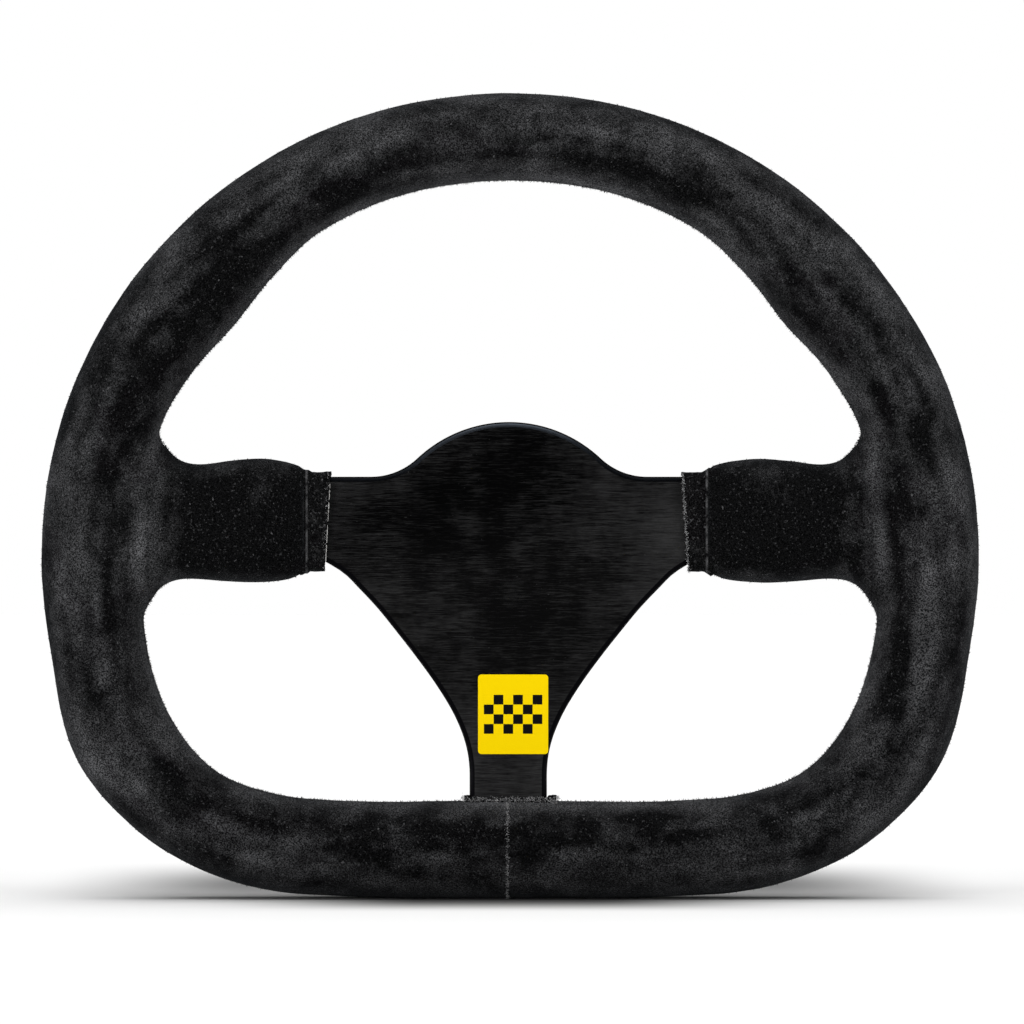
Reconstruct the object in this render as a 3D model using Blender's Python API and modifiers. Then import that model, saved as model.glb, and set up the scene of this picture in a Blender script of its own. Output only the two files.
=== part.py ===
"""Quick release steering wheel, 250 mm across, with a flat bottom and a suede grip.

The wheel stands as the driver sees it: +X is to the right, +Z is up, and +Y points away
from the driver, along the steering axis. The origin is on that axis, on the stop pad at
the bottom of the hub's socket, where the end of the steering column rests.
"""

import math
from bisect import bisect_right

import bmesh
import bpy
from mathutils import Matrix, Vector

MM = 0.001
UPRIGHT = Matrix.Rotation(math.pi / 2, 4, "X")
GAP = 0.3 * MM
HAIR_GAP = 0.05 * MM
# How far a cutter runs on past the face that it opens.
OVERRUN = 1.0 * MM

# The grip's skin. Angles are degrees above the horizontal, seen from the steering axis.
GRIP_Y = -10.8 * MM
GRIP_HALF_DEPTH = 14.0 * MM
GRIP_SQUARENESS = 2.3
SUEDE = 1.5 * MM
RIM_STATIONS = 44
RIM_SECTION_POINTS = 12

# Right half of the rim: angle, outer radius and inner radius in mm.
RIM_OUTLINE = (
    (-90, 91.4, 65.2),
    (-81, 92.4, 66.1),
    (-72, 96.0, 68.8),
    (-63, 101.8, 73.6),
    (-54, 110.2, 80.4),
    (-45, 117.9, 89.5),
    (-36, 123.9, 97.3),
    (-25, 127.7, 100.3),
    (-12, 125.3, 99.6),
    (0, 125.1, 98.0),
    (20, 125.2, 99.4),
    (30, 124.9, 97.9),
    (40, 124.7, 95.8),
    (50, 124.4, 97.8),
    (60, 124.2, 100.2),
    (90, 123.5, 100.1),
)

# Side grip from the collar into the rim: distance from the axis, top, bottom and half depth in mm.
SIDE_GRIP_OUTLINE = (
    (54.7, 23.9, -4.6, 6.2),
    (58.5, 25.0, -6.3, 8.8),
    (66.0, 26.1, -7.1, 11.4),
    (75.0, 25.4, -6.9, 12.4),
    (84.0, 24.4, -6.2, 12.8),
    (89.5, 26.4, -6.5, 13.1),
    (94.0, 32.4, -9.0, 13.4),
    (98.0, 38.0, -15.0, 13.5),
    (110.0, 38.0, -15.0, 12.4),
)
SIDE_GRIP_SQUARENESS = 2.6
SIDE_GRIP_STEP = 4.0
SIDE_GRIP_SECTION_POINTS = 14
SIDE_SEAM_X = 96.0 * MM
SIDE_SEAM_Z = (-14.5 * MM, 34.0 * MM)
SIDE_WRAP_INNER_X = 50.0 * MM
BOTTOM_SEAM_Z = (-100.0 * MM, -60.0 * MM)
# The seams are cut right through the grip, from in front of it to behind it.
SEAM_CUT_Y = (-40.0 * MM, 20.0 * MM)
# The foam stops short of the wraps' open ends, and the skin's hollow runs out through them.
FOAM_SETBACK = 0.2 * MM

# The spoke plate.
PLATE_FRONT_Y = -13.3 * MM
PLATE_THICKNESS = 5.0 * MM
PLATE_BACK_Y = PLATE_FRONT_Y + PLATE_THICKNESS
PLATE_BEVEL = 1.3 * MM
PLATE_DISC_R = 35.7
PLATE_TOP_Z = 21.1
PLATE_SHOULDER_R = 18.0
# Half width of the lower spoke at each height in mm.
LOWER_SPOKE_FLANK = (
    (-58.4, 10.3),
    (-50.4, 11.3),
    (-42.4, 14.4),
    (-34.4, 18.9),
    (-26.4, 24.5),
    (-18.4, 30.8),
    (-10.4, 38.3),
    (-3.5, 48.0),
)
# The arm narrows inside the grip: distance from the axis, top and bottom in mm.
ARM_NECK = ((51.0, PLATE_TOP_Z, -3.5), (54.0, 18.6, 0.6), (90.5, 18.6, 0.6))
LOWER_ARM_END_Z = -73.6

# Collars of folded suede where the plate leaves the grip.
COLLAR_INNER_X = 48.3 * MM
COLLAR_OUTER_X = 54.4 * MM
COLLAR_TOP_Z = 22.5 * MM
COLLAR_BOTTOM_Z = -4.3 * MM
COLLAR_HALF_DEPTH = 4.4 * MM
LOWER_COLLAR_HALF_WIDTH = 11.7 * MM
LOWER_COLLAR_TOP_Z = -63.0 * MM
LOWER_COLLAR_BOTTOM_Z = -64.9 * MM
LOWER_COLLAR_HALF_DEPTH = 3.9 * MM

# The steel ring in the rim, its tabs and the rivets that hold the plate to them.
CORE_BAR_R = 4.0 * MM
CORE_CLEARANCE = 0.5 * MM
TAB_FRONT_Y = PLATE_BACK_Y + GAP
TAB_THICKNESS = 2.5 * MM
SIDE_TAB_REACH = (74.0 * MM, 105.6 * MM)
SIDE_TAB_Z = (2.6 * MM, 16.6 * MM)
LOWER_TAB_HALF_WIDTH = 9.0 * MM
LOWER_TAB_Z = (-74.9 * MM, -68.3 * MM)
RIVET_SHANK_R = 1.7 * MM
RIVET_HEAD_R = 2.5 * MM
RIVET_HEAD_HEIGHT = 1.1 * MM
# A set rivet's head is crowned: its rim is lower and its flat smaller by these shares.
RIVET_CROWN = (0.62, 0.85)
RIVET_PLACES = {
    "rivet_left_outer": (-86.0, 9.6),
    "rivet_left_inner": (-77.8, 9.6),
    "rivet_right_inner": (77.8, 9.6),
    "rivet_right_outer": (86.0, 9.6),
    "rivet_lower_left": (-5.0, -71.3),
    "rivet_lower_right": (5.0, -71.3),
}

# The film badge on the lower spoke.
BADGE_CENTRE = (0.8 * MM, -42.2 * MM)
BADGE_SIZE = (18.7 * MM, 21.2 * MM)
BADGE_THICKNESS = 0.15 * MM

# The quick release hub, behind the plate. Heights along the axis are Y in mm.
FLANGE_R = 31.0
FLANGE_FRONT = -8.0
FLANGE_BACK = -2.0
SOCKET_FLOOR = -1.0
STOP_PAD_R = 7.0
SOCKET_R = 11.0
SPLINE_ROOT_R = 9.6
SPLINE_LENGTH = 9.0
SPLINE_GROOVES = 12
SPLINE_GROOVE_R = 1.3
SPLINE_GROOVE_FRONT = SOCKET_FLOOR + 0.4
SPLINE_GROOVE_BACK = 11.0
BARREL_R = 15.5
BARREL_END = 25.5
RING_GROOVE = (23.25, 24.55)
RING_GROOVE_R = 14.7
CHAMFER = 0.5
WIDE_CHAMFER = 0.8

SCREWS = 6
SCREW_CIRCLE_R = 25.0
SCREW_HOLE_R = 2.8
SCREW_SHANK_R = 2.5
SCREW_HEAD_R = 4.25
SCREW_HEAD_HEIGHT = 5.0
SCREW_TIP = -12.0
SCREW_TAPPED_DEPTH = 4.0 * MM
SCREW_SOCKET_R = 2.3
SCREW_SOCKET_DEPTH = 2.4
SCREW_HEAD_CHAMFER = 0.4
SCREW_TIP_CHAMFER = 0.6

BALLS = 6
BALL_R = 2.75
BALL_CIRCLE_R = 12.75
BALL_PLANE = 15.0
# The seat's cone keeps a ball from falling into the socket: distance from the axis, radius.
BALL_SEAT = ((10.6, 2.4), (16.4, 4.1))

SLEEVE_FRONT = 4.5
SLEEVE_BACK = 23.0
SLEEVE_R = 20.0
SLEEVE_GRIP_R = 23.0
SLEEVE_GRIP_START = 15.5
# The grip's front slopes down to the sleeve over this much of its length, on both sides.
SLEEVE_GRIP_SLOPE = (1.0, 1.5)
SLEEVE_BORE_R = 18.3
SLEEVE_SHOULDER = 9.0
SLEEVE_LAND_R = 15.8
SLEEVE_RAMP_R = 17.0
SLEEVE_RAMP_END = 21.0
SLEEVE_SCALLOPS = 12
SLEEVE_SCALLOP_R = 3.0
SLEEVE_SCALLOP_CENTRE_R = 25.0

SPRING_COIL_R = 17.05
SPRING_WIRE_R = 0.55
SPRING_TURNS = 3.4
SPRING_STEPS_PER_TURN = 12
# The share of the wire that lies flat at each end, and how much even that rises.
SPRING_DEAD_END = 0.12
SPRING_END_RISE = 0.25
SPRING_FRONT = FLANGE_BACK + 0.95
SPRING_BACK = SLEEVE_SHOULDER - 0.95

SNAP_RING_R = (15.05, 17.8)
SNAP_RING_Y = (23.45, 24.35)
SNAP_RING_OPENING = 34.0
SNAP_RING_STEPS = 30

SUEDE_LOOK = ("suede", (0.022, 0.022, 0.023), 0.95, 0.0)
FOAM_LOOK = ("moulded foam", (0.05, 0.05, 0.05), 0.8, 0.0)
ANODISED_LOOK = ("anodised aluminium", (0.018, 0.018, 0.02), 0.42, 0.9)
STEEL_LOOK = ("plated steel", (0.55, 0.55, 0.56), 0.35, 1.0)
BALL_LOOK = ("hardened steel", (0.75, 0.75, 0.76), 0.12, 1.0)
SLEEVE_LOOK = ("red anodised aluminium", (0.45, 0.015, 0.02), 0.35, 0.9)
BADGE_LOOK = ("yellow film", (0.93, 0.66, 0.0), 0.4, 0.0)


# ---------------------------------------------------------------- shared makers


def clear_scene():
    for old in list(bpy.data.objects):
        bpy.data.objects.remove(old, do_unlink=True)


def new_collection(name):
    collection = bpy.data.collections.new(name)
    bpy.context.scene.collection.children.link(collection)
    return collection


def material(look):
    name, colour, roughness, metallic = look
    made = bpy.data.materials.get(name) or bpy.data.materials.new(name)
    made.use_nodes = True
    shader = made.node_tree.nodes["Principled BSDF"]
    shader.inputs["Base Color"].default_value = (*colour, 1.0)
    shader.inputs["Roughness"].default_value = roughness
    shader.inputs["Metallic"].default_value = metallic
    made.diffuse_color = (*colour, 1.0)
    return made


def add_mesh(name, mesh, look=None):
    """An object for a mesh: a part when it has a look, and otherwise a hidden cutter."""
    thing = bpy.data.objects.new(name, mesh)
    if look is None:
        CUTTERS.objects.link(thing)
        thing.hide_render = True
        thing.display_type = "WIRE"
    else:
        PARTS.objects.link(thing)
        mesh.materials.append(material(look))
    return thing


def from_bmesh(name, shape, look=None):
    bmesh.ops.recalc_face_normals(shape, faces=shape.faces)
    mesh = bpy.data.meshes.new(name)
    shape.to_mesh(mesh)
    shape.free()
    return add_mesh(name, mesh, look)


def round_off(thing, degrees=35):
    """Smooth shading, with the edges sharper than this angle left hard."""
    thing.data.shade_smooth()
    thing.data.set_sharp_from_angle(angle=math.radians(degrees))
    return thing


def combine(thing, other, operation):
    change = thing.modifiers.new(f"{operation.lower()} {other.name}", "BOOLEAN")
    change.object = other
    change.operation = operation
    change.solver = "EXACT"
    return thing


def cut(thing, *cutters):
    for cutter in cutters:
        combine(thing, cutter, "DIFFERENCE")
    return thing


def box(name, low, high, look=None):
    shape = bmesh.new()
    bmesh.ops.create_cube(shape, size=1.0)
    low, high = Vector(low), Vector(high)
    for vertex in shape.verts:
        vertex.co = Vector(a + (b - a) * (c + 0.5) for a, b, c in zip(low, high, vertex.co))
    return from_bmesh(name, shape, look)


def lofted(name, rings, look=None, closed=False):
    """A skin through equal rings of points. An open one is capped at both ends."""
    shape = bmesh.new()
    loops = [[shape.verts.new(point) for point in ring] for ring in rings]
    joins = list(zip(loops, loops[1:]))
    if closed:
        joins.append((loops[-1], loops[0]))
    for near, far in joins:
        for i, start in enumerate(near):
            j = (i + 1) % len(near)
            shape.faces.new((start, near[j], far[j], far[i]))
    if not closed:
        shape.faces.new(loops[0])
        shape.faces.new(loops[-1])
    return from_bmesh(name, shape, look)


def turned(name, profile, steps, look=None, ring=False):
    """A turned piece from (radius, height) points in mm, outer side from back to front."""
    mesh = bpy.data.meshes.new(name)
    points = [(radius * MM, 0, height * MM) for radius, height in profile]
    edges = [(i, i + 1) for i in range(len(points) - 1)]
    if ring:
        edges.append((len(points) - 1, 0))
    mesh.from_pydata(points, edges, [])
    thing = add_mesh(name, mesh, look)
    thing.rotation_euler = (-math.pi / 2, 0, 0)
    screw = thing.modifiers.new("turn", "SCREW")
    screw.axis = "Z"
    screw.angle = math.tau
    screw.steps = screw.render_steps = steps
    screw.use_merge_vertices = True
    screw.merge_threshold = 0.00001
    screw.use_smooth_shade = True
    return thing


def mesh_of_curve(name, curve, look=None, matrix=Matrix.Identity(4)):
    """A curve made a closed mesh, so that it can be cut."""
    drawn = bpy.data.objects.new(name, curve)
    bpy.context.scene.collection.objects.link(drawn)
    drawn.matrix_world = matrix
    bpy.context.view_layer.update()
    mesh = bpy.data.meshes.new_from_object(drawn.evaluated_get(bpy.context.evaluated_depsgraph_get()))
    bpy.data.objects.remove(drawn)
    shape = bmesh.new()
    shape.from_mesh(mesh)
    bmesh.ops.remove_doubles(shape, verts=shape.verts, dist=0.000001)
    if curve.dimensions == "2D":
        caps = [face for face in shape.faces if len({vertex.co.z > 0 for vertex in face.verts}) == 1]
        bmesh.ops.dissolve_faces(shape, faces=caps)
    thing = from_bmesh(name, shape, look)
    thing.matrix_world = matrix
    return thing


def interpolated(table, at):
    """The values at one place along a table, on a smooth curve through its rows."""
    keys = [row[0] for row in table]
    i = min(max(bisect_right(keys, at) - 1, 0), len(table) - 2)
    span = keys[i + 1] - keys[i]
    t = (at - keys[i]) / span

    def slope(row, column):
        before, after = max(row - 1, 0), min(row + 1, len(table) - 1)
        if after - before < 2:
            return 0.0
        return (table[after][column] - table[before][column]) / (keys[after] - keys[before])

    values = []
    for column in range(1, len(table[0])):
        start, end = table[i][column], table[i + 1][column]
        values.append(
            start * (2 * t**3 - 3 * t**2 + 1)
            + end * (3 * t**2 - 2 * t**3)
            + slope(i, column) * span * (t**3 - 2 * t**2 + t)
            + slope(i + 1, column) * span * (t**3 - t**2)
        )
    return values


def oval(count, squareness):
    """Points of a unit oval, as (across, depth) pairs. A squareness of 2 is a circle."""
    points = []
    for step in range(count):
        turn = math.tau * step / count
        across, depth = math.cos(turn), math.sin(turn)
        power = 2 / squareness
        points.append(
            (math.copysign(abs(across) ** power, across), math.copysign(abs(depth) ** power, depth))
        )
    return points


def around_axis(count, radius, start=0.0):
    """Angle and place, in metres, of each of a number of like pieces around the steering axis."""
    for number in range(count):
        turn = start + math.tau * number / count
        yield turn, Vector((radius * MM * math.cos(turn), 0, radius * MM * math.sin(turn)))


# ---------------------------------------------------------------- the grip's volumes


def rim_edges(degrees):
    """Outer and inner radius of the rim at an angle, in metres."""
    lifted = math.degrees(math.asin(math.sin(math.radians(degrees))))
    outer, inner = interpolated(RIM_OUTLINE, lifted)
    return outer * MM, inner * MM


def rim_volume(name, inset=0.0, look=None):
    rings = []
    for station in range(RIM_STATIONS):
        degrees = 360 * (station + 0.5) / RIM_STATIONS
        outer, inner = rim_edges(degrees)
        out = Vector((math.cos(math.radians(degrees)), 0, math.sin(math.radians(degrees))))
        middle, half_width = (outer + inner) / 2, (outer - inner) / 2 - inset
        half_depth = GRIP_HALF_DEPTH - inset
        rings.append(
            [
                out * (middle + half_width * across) + Vector((0, GRIP_Y + half_depth * depth, 0))
                for across, depth in oval(RIM_SECTION_POINTS, GRIP_SQUARENESS)
            ]
        )
    return lofted(name, rings, look, closed=True)


def side_grip_volume(name, side, inset=0.0, start=0.0, look=None):
    """The grip over a side spoke, from its collar into the rim. start moves its open end."""
    first, last = SIDE_GRIP_OUTLINE[0][0], SIDE_GRIP_OUTLINE[-1][0]
    count = round((last - first) / SIDE_GRIP_STEP)
    rings = []
    for number in range(count + 1):
        place = first + (last - first) * number / count
        top, bottom, half_depth = interpolated(SIDE_GRIP_OUTLINE, place)
        middle = (top + bottom) / 2 * MM
        half_height = (top - bottom) / 2 * MM - inset
        half_depth = half_depth * MM - inset
        x = place * MM + (start if number == 0 else 0.0)
        rings.append(
            [
                Vector((side * x, GRIP_Y + half_depth * depth, middle + half_height * up))
                for up, depth in oval(SIDE_GRIP_SECTION_POINTS, SIDE_GRIP_SQUARENESS)
            ]
        )
    return lofted(name, rings, look)


def grip_volume(name, inset, start, look=None):
    """The rim and both side grips as one body."""
    whole = rim_volume(name, inset, look)
    for side, word in ((-1, "left"), (1, "right")):
        combine(whole, side_grip_volume(f"{name} {word}", side, inset, start), "UNION")
    return whole


# ---------------------------------------------------------------- structure


def plate_outline():
    """Right half of the plate, from the top of its disc to the end of its lower arm, in mm."""
    lift = PLATE_TOP_Z + PLATE_SHOULDER_R
    reach = math.sqrt((PLATE_DISC_R + PLATE_SHOULDER_R) ** 2 - lift**2)
    meeting = math.atan2(lift, reach)
    points = []
    for step in range(9):
        turn = math.pi / 2 + (meeting - math.pi / 2) * step / 8
        points.append((PLATE_DISC_R * math.cos(turn), PLATE_DISC_R * math.sin(turn)))
    for step in range(1, 6):
        turn = meeting + math.pi + (math.pi / 2 - meeting) * step / 5
        points.append((reach + PLATE_SHOULDER_R * math.cos(turn), lift + PLATE_SHOULDER_R * math.sin(turn)))
    points += [(x, top) for x, top, _ in ARM_NECK]
    points += [(x, bottom) for x, _, bottom in reversed(ARM_NECK)]
    for step in range(15):
        z = LOWER_SPOKE_FLANK[-1][0] + (LOWER_SPOKE_FLANK[0][0] - LOWER_SPOKE_FLANK[-1][0]) * step / 14
        points.append((interpolated(LOWER_SPOKE_FLANK, z)[0], z))
    points.append((LOWER_SPOKE_FLANK[0][1], LOWER_ARM_END_Z))
    return points


def plate_volume(name, swell=0.0, look=None):
    """The spoke plate. swell makes a cutter that clears it all round."""
    half = plate_outline()
    outline = half + [(-x, z) for x, z in reversed(half) if x > 0.001]
    curve = bpy.data.curves.new(name, "CURVE")
    curve.dimensions = "2D"
    curve.fill_mode = "BOTH"
    curve.extrude = PLATE_THICKNESS / 2 + swell
    curve.offset = swell
    spline = curve.splines.new("POLY")
    spline.points.add(len(outline) - 1)
    for point, (x, z) in zip(spline.points, outline):
        point.co = (x * MM, z * MM, 0, 1)
    spline.use_cyclic_u = True
    upright = Matrix.Translation((0, PLATE_FRONT_Y + PLATE_THICKNESS / 2, 0)) @ UPRIGHT
    plate = mesh_of_curve(name, curve, look, upright)
    if swell == 0.0:
        bevel = plate.modifiers.new("edge", "BEVEL")
        bevel.width = PLATE_BEVEL
        bevel.segments = 1
        bevel.limit_method = "ANGLE"
        bevel.angle_limit = math.radians(60)
    return plate


def rod_cutter(name, places, radius, front, back, steps=12):
    """One cutter of like rods along Y, at (x, z) places in mm."""
    shape = bmesh.new()
    for x, z in places:
        where = Matrix.Translation((x * MM, (front + back) / 2, z * MM)) @ UPRIGHT
        bmesh.ops.create_cone(
            shape,
            cap_ends=True,
            segments=steps,
            radius1=radius,
            radius2=radius,
            depth=back - front,
            matrix=where,
        )
    return from_bmesh(name, shape)


def screw_places():
    return [(place.x / MM, place.z / MM) for _, place in around_axis(SCREWS, SCREW_CIRCLE_R)]


def make_spoke_plate():
    plate = plate_volume("spoke_plate", look=ANODISED_LOOK)
    tapped = (PLATE_BACK_Y - SCREW_TAPPED_DEPTH, PLATE_BACK_Y + OVERRUN)
    through = (PLATE_FRONT_Y - OVERRUN, PLATE_BACK_Y + OVERRUN)
    cut(
        plate,
        rod_cutter("tapped holes", screw_places(), SCREW_HOLE_R * MM, *tapped),
        rod_cutter("rivet holes", RIVET_PLACES.values(), RIVET_SHANK_R + GAP, *through),
    )
    return plate


def core_volume(name, radius, look=None):
    """The round steel bar in the middle of the rim, bent to the rim's outline."""
    rings = []
    for station in range(RIM_STATIONS):
        degrees = 360 * (station + 0.5) / RIM_STATIONS
        outer, inner = rim_edges(degrees)
        out = Vector((math.cos(math.radians(degrees)), 0, math.sin(math.radians(degrees))))
        rings.append(
            [
                out * ((outer + inner) / 2 + radius * across) + Vector((0, GRIP_Y + radius * depth, 0))
                for across, depth in oval(8, 2)
            ]
        )
    return lofted(name, rings, look, closed=True)


def tab_box(name, swell=0.0, look=None):
    """One of the three tabs welded to the core, behind the end of a spoke."""
    front, back = TAB_FRONT_Y - swell, TAB_FRONT_Y + TAB_THICKNESS + swell
    if name.startswith("core_tab_lower"):
        low = (-LOWER_TAB_HALF_WIDTH - swell, front, LOWER_TAB_Z[0] - swell)
        high = (LOWER_TAB_HALF_WIDTH + swell, back, LOWER_TAB_Z[1] + swell)
        return box(name, low, high, look)
    near, far = SIDE_TAB_REACH[0] - swell, SIDE_TAB_REACH[1] + swell
    ends = (near, far) if name.startswith("core_tab_right") else (-far, -near)
    low = (ends[0], front, SIDE_TAB_Z[0] - swell)
    high = (ends[1], back, SIDE_TAB_Z[1] + swell)
    return box(name, low, high, look)


def make_core():
    round_off(core_volume("rim_core", CORE_BAR_R, STEEL_LOOK))
    rivets = rod_cutter(
        "tab rivet holes",
        RIVET_PLACES.values(),
        RIVET_SHANK_R + GAP,
        TAB_FRONT_Y - OVERRUN,
        TAB_FRONT_Y + TAB_THICKNESS + OVERRUN,
    )
    for word in ("left", "right", "lower"):
        tab = tab_box(f"core_tab_{word}", look=STEEL_LOOK)
        cut(tab, rivets)


def rivet_profile():
    """Half section of a set rivet in mm, from its back head to its front head."""
    head = RIVET_HEAD_R / MM
    shank = RIVET_SHANK_R / MM
    height = RIVET_HEAD_HEIGHT / MM
    flat, rim = RIVET_CROWN
    back = (TAB_FRONT_Y + TAB_THICKNESS + GAP) / MM
    front = (PLATE_FRONT_Y - GAP) / MM
    return [
        (0, back + height),
        (head * flat, back + height * rim),
        (head, back),
        (shank, back),
        (shank, front),
        (head, front),
        (head * flat, front - height * rim),
        (0, front - height),
    ]


def make_rivets():
    for name, (x, z) in RIVET_PLACES.items():
        rivet = turned(name, rivet_profile(), 10, STEEL_LOOK)
        rivet.location = (x * MM, 0, z * MM)


# ---------------------------------------------------------------- the grip's pieces


def core_clearances():
    """Cutters that clear the core, the tabs and the rivets inside the foam."""
    front = PLATE_FRONT_Y - RIVET_HEAD_HEIGHT - 2 * GAP
    back = TAB_FRONT_Y + TAB_THICKNESS + RIVET_HEAD_HEIGHT + 2 * GAP
    return (
        core_volume("core clearance", CORE_BAR_R + CORE_CLEARANCE),
        *(tab_box(f"core_tab_{word} clearance", GAP) for word in ("left", "right", "lower")),
        rod_cutter("rivet head clearance", RIVET_PLACES.values(), RIVET_HEAD_R + GAP, front, back),
    )


def side_zone(name, side, shrink=0.0):
    """The block of space that holds one side grip, up to its seam with the rim."""
    low, high = SIDE_SEAM_Z
    ends = sorted((side * SIDE_WRAP_INNER_X, side * (SIDE_SEAM_X - shrink)))
    return box(
        name,
        (ends[0], SEAM_CUT_Y[0], low + shrink),
        (ends[1], SEAM_CUT_Y[1], high - shrink),
    )


def make_grip(plate_clearance):
    foam = grip_volume("rim_foam", SUEDE + GAP, FOAM_SETBACK, FOAM_LOOK)
    cut(foam, *core_clearances(), plate_clearance)

    hollow = grip_volume("grip hollow", SUEDE, -OVERRUN)
    bottom_seam = box(
        "bottom seam",
        (-GAP / 2, SEAM_CUT_Y[0], BOTTOM_SEAM_Z[0]),
        (GAP / 2, SEAM_CUT_Y[1], BOTTOM_SEAM_Z[1]),
    )
    zones = [side_zone("left side zone", -1), side_zone("right side zone", 1)]
    cover = grip_volume("rim_cover", 0.0, 0.0, SUEDE_LOOK)
    cut(cover, hollow, *zones, bottom_seam, plate_clearance)

    for side, word in ((-1, "left"), (1, "right")):
        wrap = grip_volume(f"spoke_wrap_{word}", 0.0, 0.0, SUEDE_LOOK)
        combine(wrap, side_zone(f"{word} wrap reach", side, GAP), "INTERSECT")
        cut(wrap, hollow)


def make_collars(plate_clearance):
    for side, word in ((-1, "left"), (1, "right")):
        ends = (COLLAR_INNER_X, COLLAR_OUTER_X) if side > 0 else (-COLLAR_OUTER_X, -COLLAR_INNER_X)
        collar = box(
            f"collar_{word}",
            (ends[0], GRIP_Y - COLLAR_HALF_DEPTH, COLLAR_BOTTOM_Z),
            (ends[1], GRIP_Y + COLLAR_HALF_DEPTH, COLLAR_TOP_Z),
            SUEDE_LOOK,
        )
        cut(collar, plate_clearance)
    lower = box(
        "collar_lower",
        (-LOWER_COLLAR_HALF_WIDTH, GRIP_Y - LOWER_COLLAR_HALF_DEPTH, LOWER_COLLAR_BOTTOM_Z),
        (LOWER_COLLAR_HALF_WIDTH, GRIP_Y + LOWER_COLLAR_HALF_DEPTH, LOWER_COLLAR_TOP_Z),
        SUEDE_LOOK,
    )
    cut(lower, plate_clearance)


def make_badge():
    (x, z), (width, height) = BADGE_CENTRE, BADGE_SIZE
    back = PLATE_FRONT_Y - HAIR_GAP
    box(
        "badge",
        (x - width / 2, back - BADGE_THICKNESS, z - height / 2),
        (x + width / 2, back, z + height / 2),
        BADGE_LOOK,
    )


# ---------------------------------------------------------------- quick release hub


def make_hub_body():
    profile = [
        (0, 0),
        (STOP_PAD_R, 0),
        (STOP_PAD_R, SOCKET_FLOOR),
        (SPLINE_ROOT_R, SOCKET_FLOOR),
        (SPLINE_ROOT_R, SPLINE_LENGTH),
        (SOCKET_R, SPLINE_LENGTH + 1.0),
        (SOCKET_R, BARREL_END - WIDE_CHAMFER),
        (SOCKET_R + WIDE_CHAMFER, BARREL_END),
        (BARREL_R - CHAMFER, BARREL_END),
        (BARREL_R, BARREL_END - CHAMFER),
        (BARREL_R, RING_GROOVE[1]),
        (RING_GROOVE_R, RING_GROOVE[1]),
        (RING_GROOVE_R, RING_GROOVE[0]),
        (BARREL_R, RING_GROOVE[0]),
        (BARREL_R, FLANGE_BACK),
        (FLANGE_R - WIDE_CHAMFER, FLANGE_BACK),
        (FLANGE_R, FLANGE_BACK - WIDE_CHAMFER),
        (FLANGE_R, FLANGE_FRONT + CHAMFER),
        (FLANGE_R - CHAMFER, FLANGE_FRONT),
        (0, FLANGE_FRONT),
    ]
    hub = turned("hub_body", profile, 36, ANODISED_LOOK)
    grooves = [
        (place.x / MM, place.z / MM) for _, place in around_axis(SPLINE_GROOVES, SPLINE_ROOT_R, math.pi / 12)
    ]
    (inner, inner_r), (outer, outer_r) = BALL_SEAT
    seats = bmesh.new()
    for turn, place in around_axis(BALLS, (inner + outer) / 2, math.pi / 6):
        place.y = BALL_PLANE * MM
        out = Vector((math.cos(turn), 0, math.sin(turn)))
        bmesh.ops.create_cone(
            seats,
            cap_ends=True,
            segments=12,
            radius1=inner_r * MM,
            radius2=outer_r * MM,
            depth=(outer - inner) * MM,
            matrix=Matrix.Translation(place) @ out.to_track_quat("Z", "Y").to_matrix().to_4x4(),
        )
    through = (FLANGE_FRONT * MM - OVERRUN, FLANGE_BACK * MM + OVERRUN)
    groove_ends = (SPLINE_GROOVE_FRONT * MM, SPLINE_GROOVE_BACK * MM)
    cut(
        hub,
        rod_cutter("spline grooves", grooves, SPLINE_GROOVE_R * MM, *groove_ends, 6),
        from_bmesh("ball seats", seats),
        rod_cutter("flange holes", screw_places(), SCREW_HOLE_R * MM, *through),
    )


def make_screws():
    seat = FLANGE_BACK + GAP / MM
    head_top = seat + SCREW_HEAD_HEIGHT
    profile = [
        (0, head_top),
        (SCREW_HEAD_R - SCREW_HEAD_CHAMFER, head_top),
        (SCREW_HEAD_R, head_top - SCREW_HEAD_CHAMFER),
        (SCREW_HEAD_R, seat),
        (SCREW_SHANK_R, seat),
        (SCREW_SHANK_R, SCREW_TIP + SCREW_TIP_CHAMFER),
        (SCREW_SHANK_R - SCREW_TIP_CHAMFER, SCREW_TIP),
        (0, SCREW_TIP),
    ]
    reach = ((head_top - SCREW_SOCKET_DEPTH) * MM, head_top * MM + OVERRUN)
    sockets = rod_cutter("screw sockets", screw_places(), SCREW_SOCKET_R * MM, *reach, 6)
    for number, (x, z) in enumerate(screw_places(), start=1):
        screw = turned(f"hub_screw_{number}", profile, 12, STEEL_LOOK)
        screw.location = (x * MM, 0, z * MM)
        cut(screw, sockets)


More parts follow.
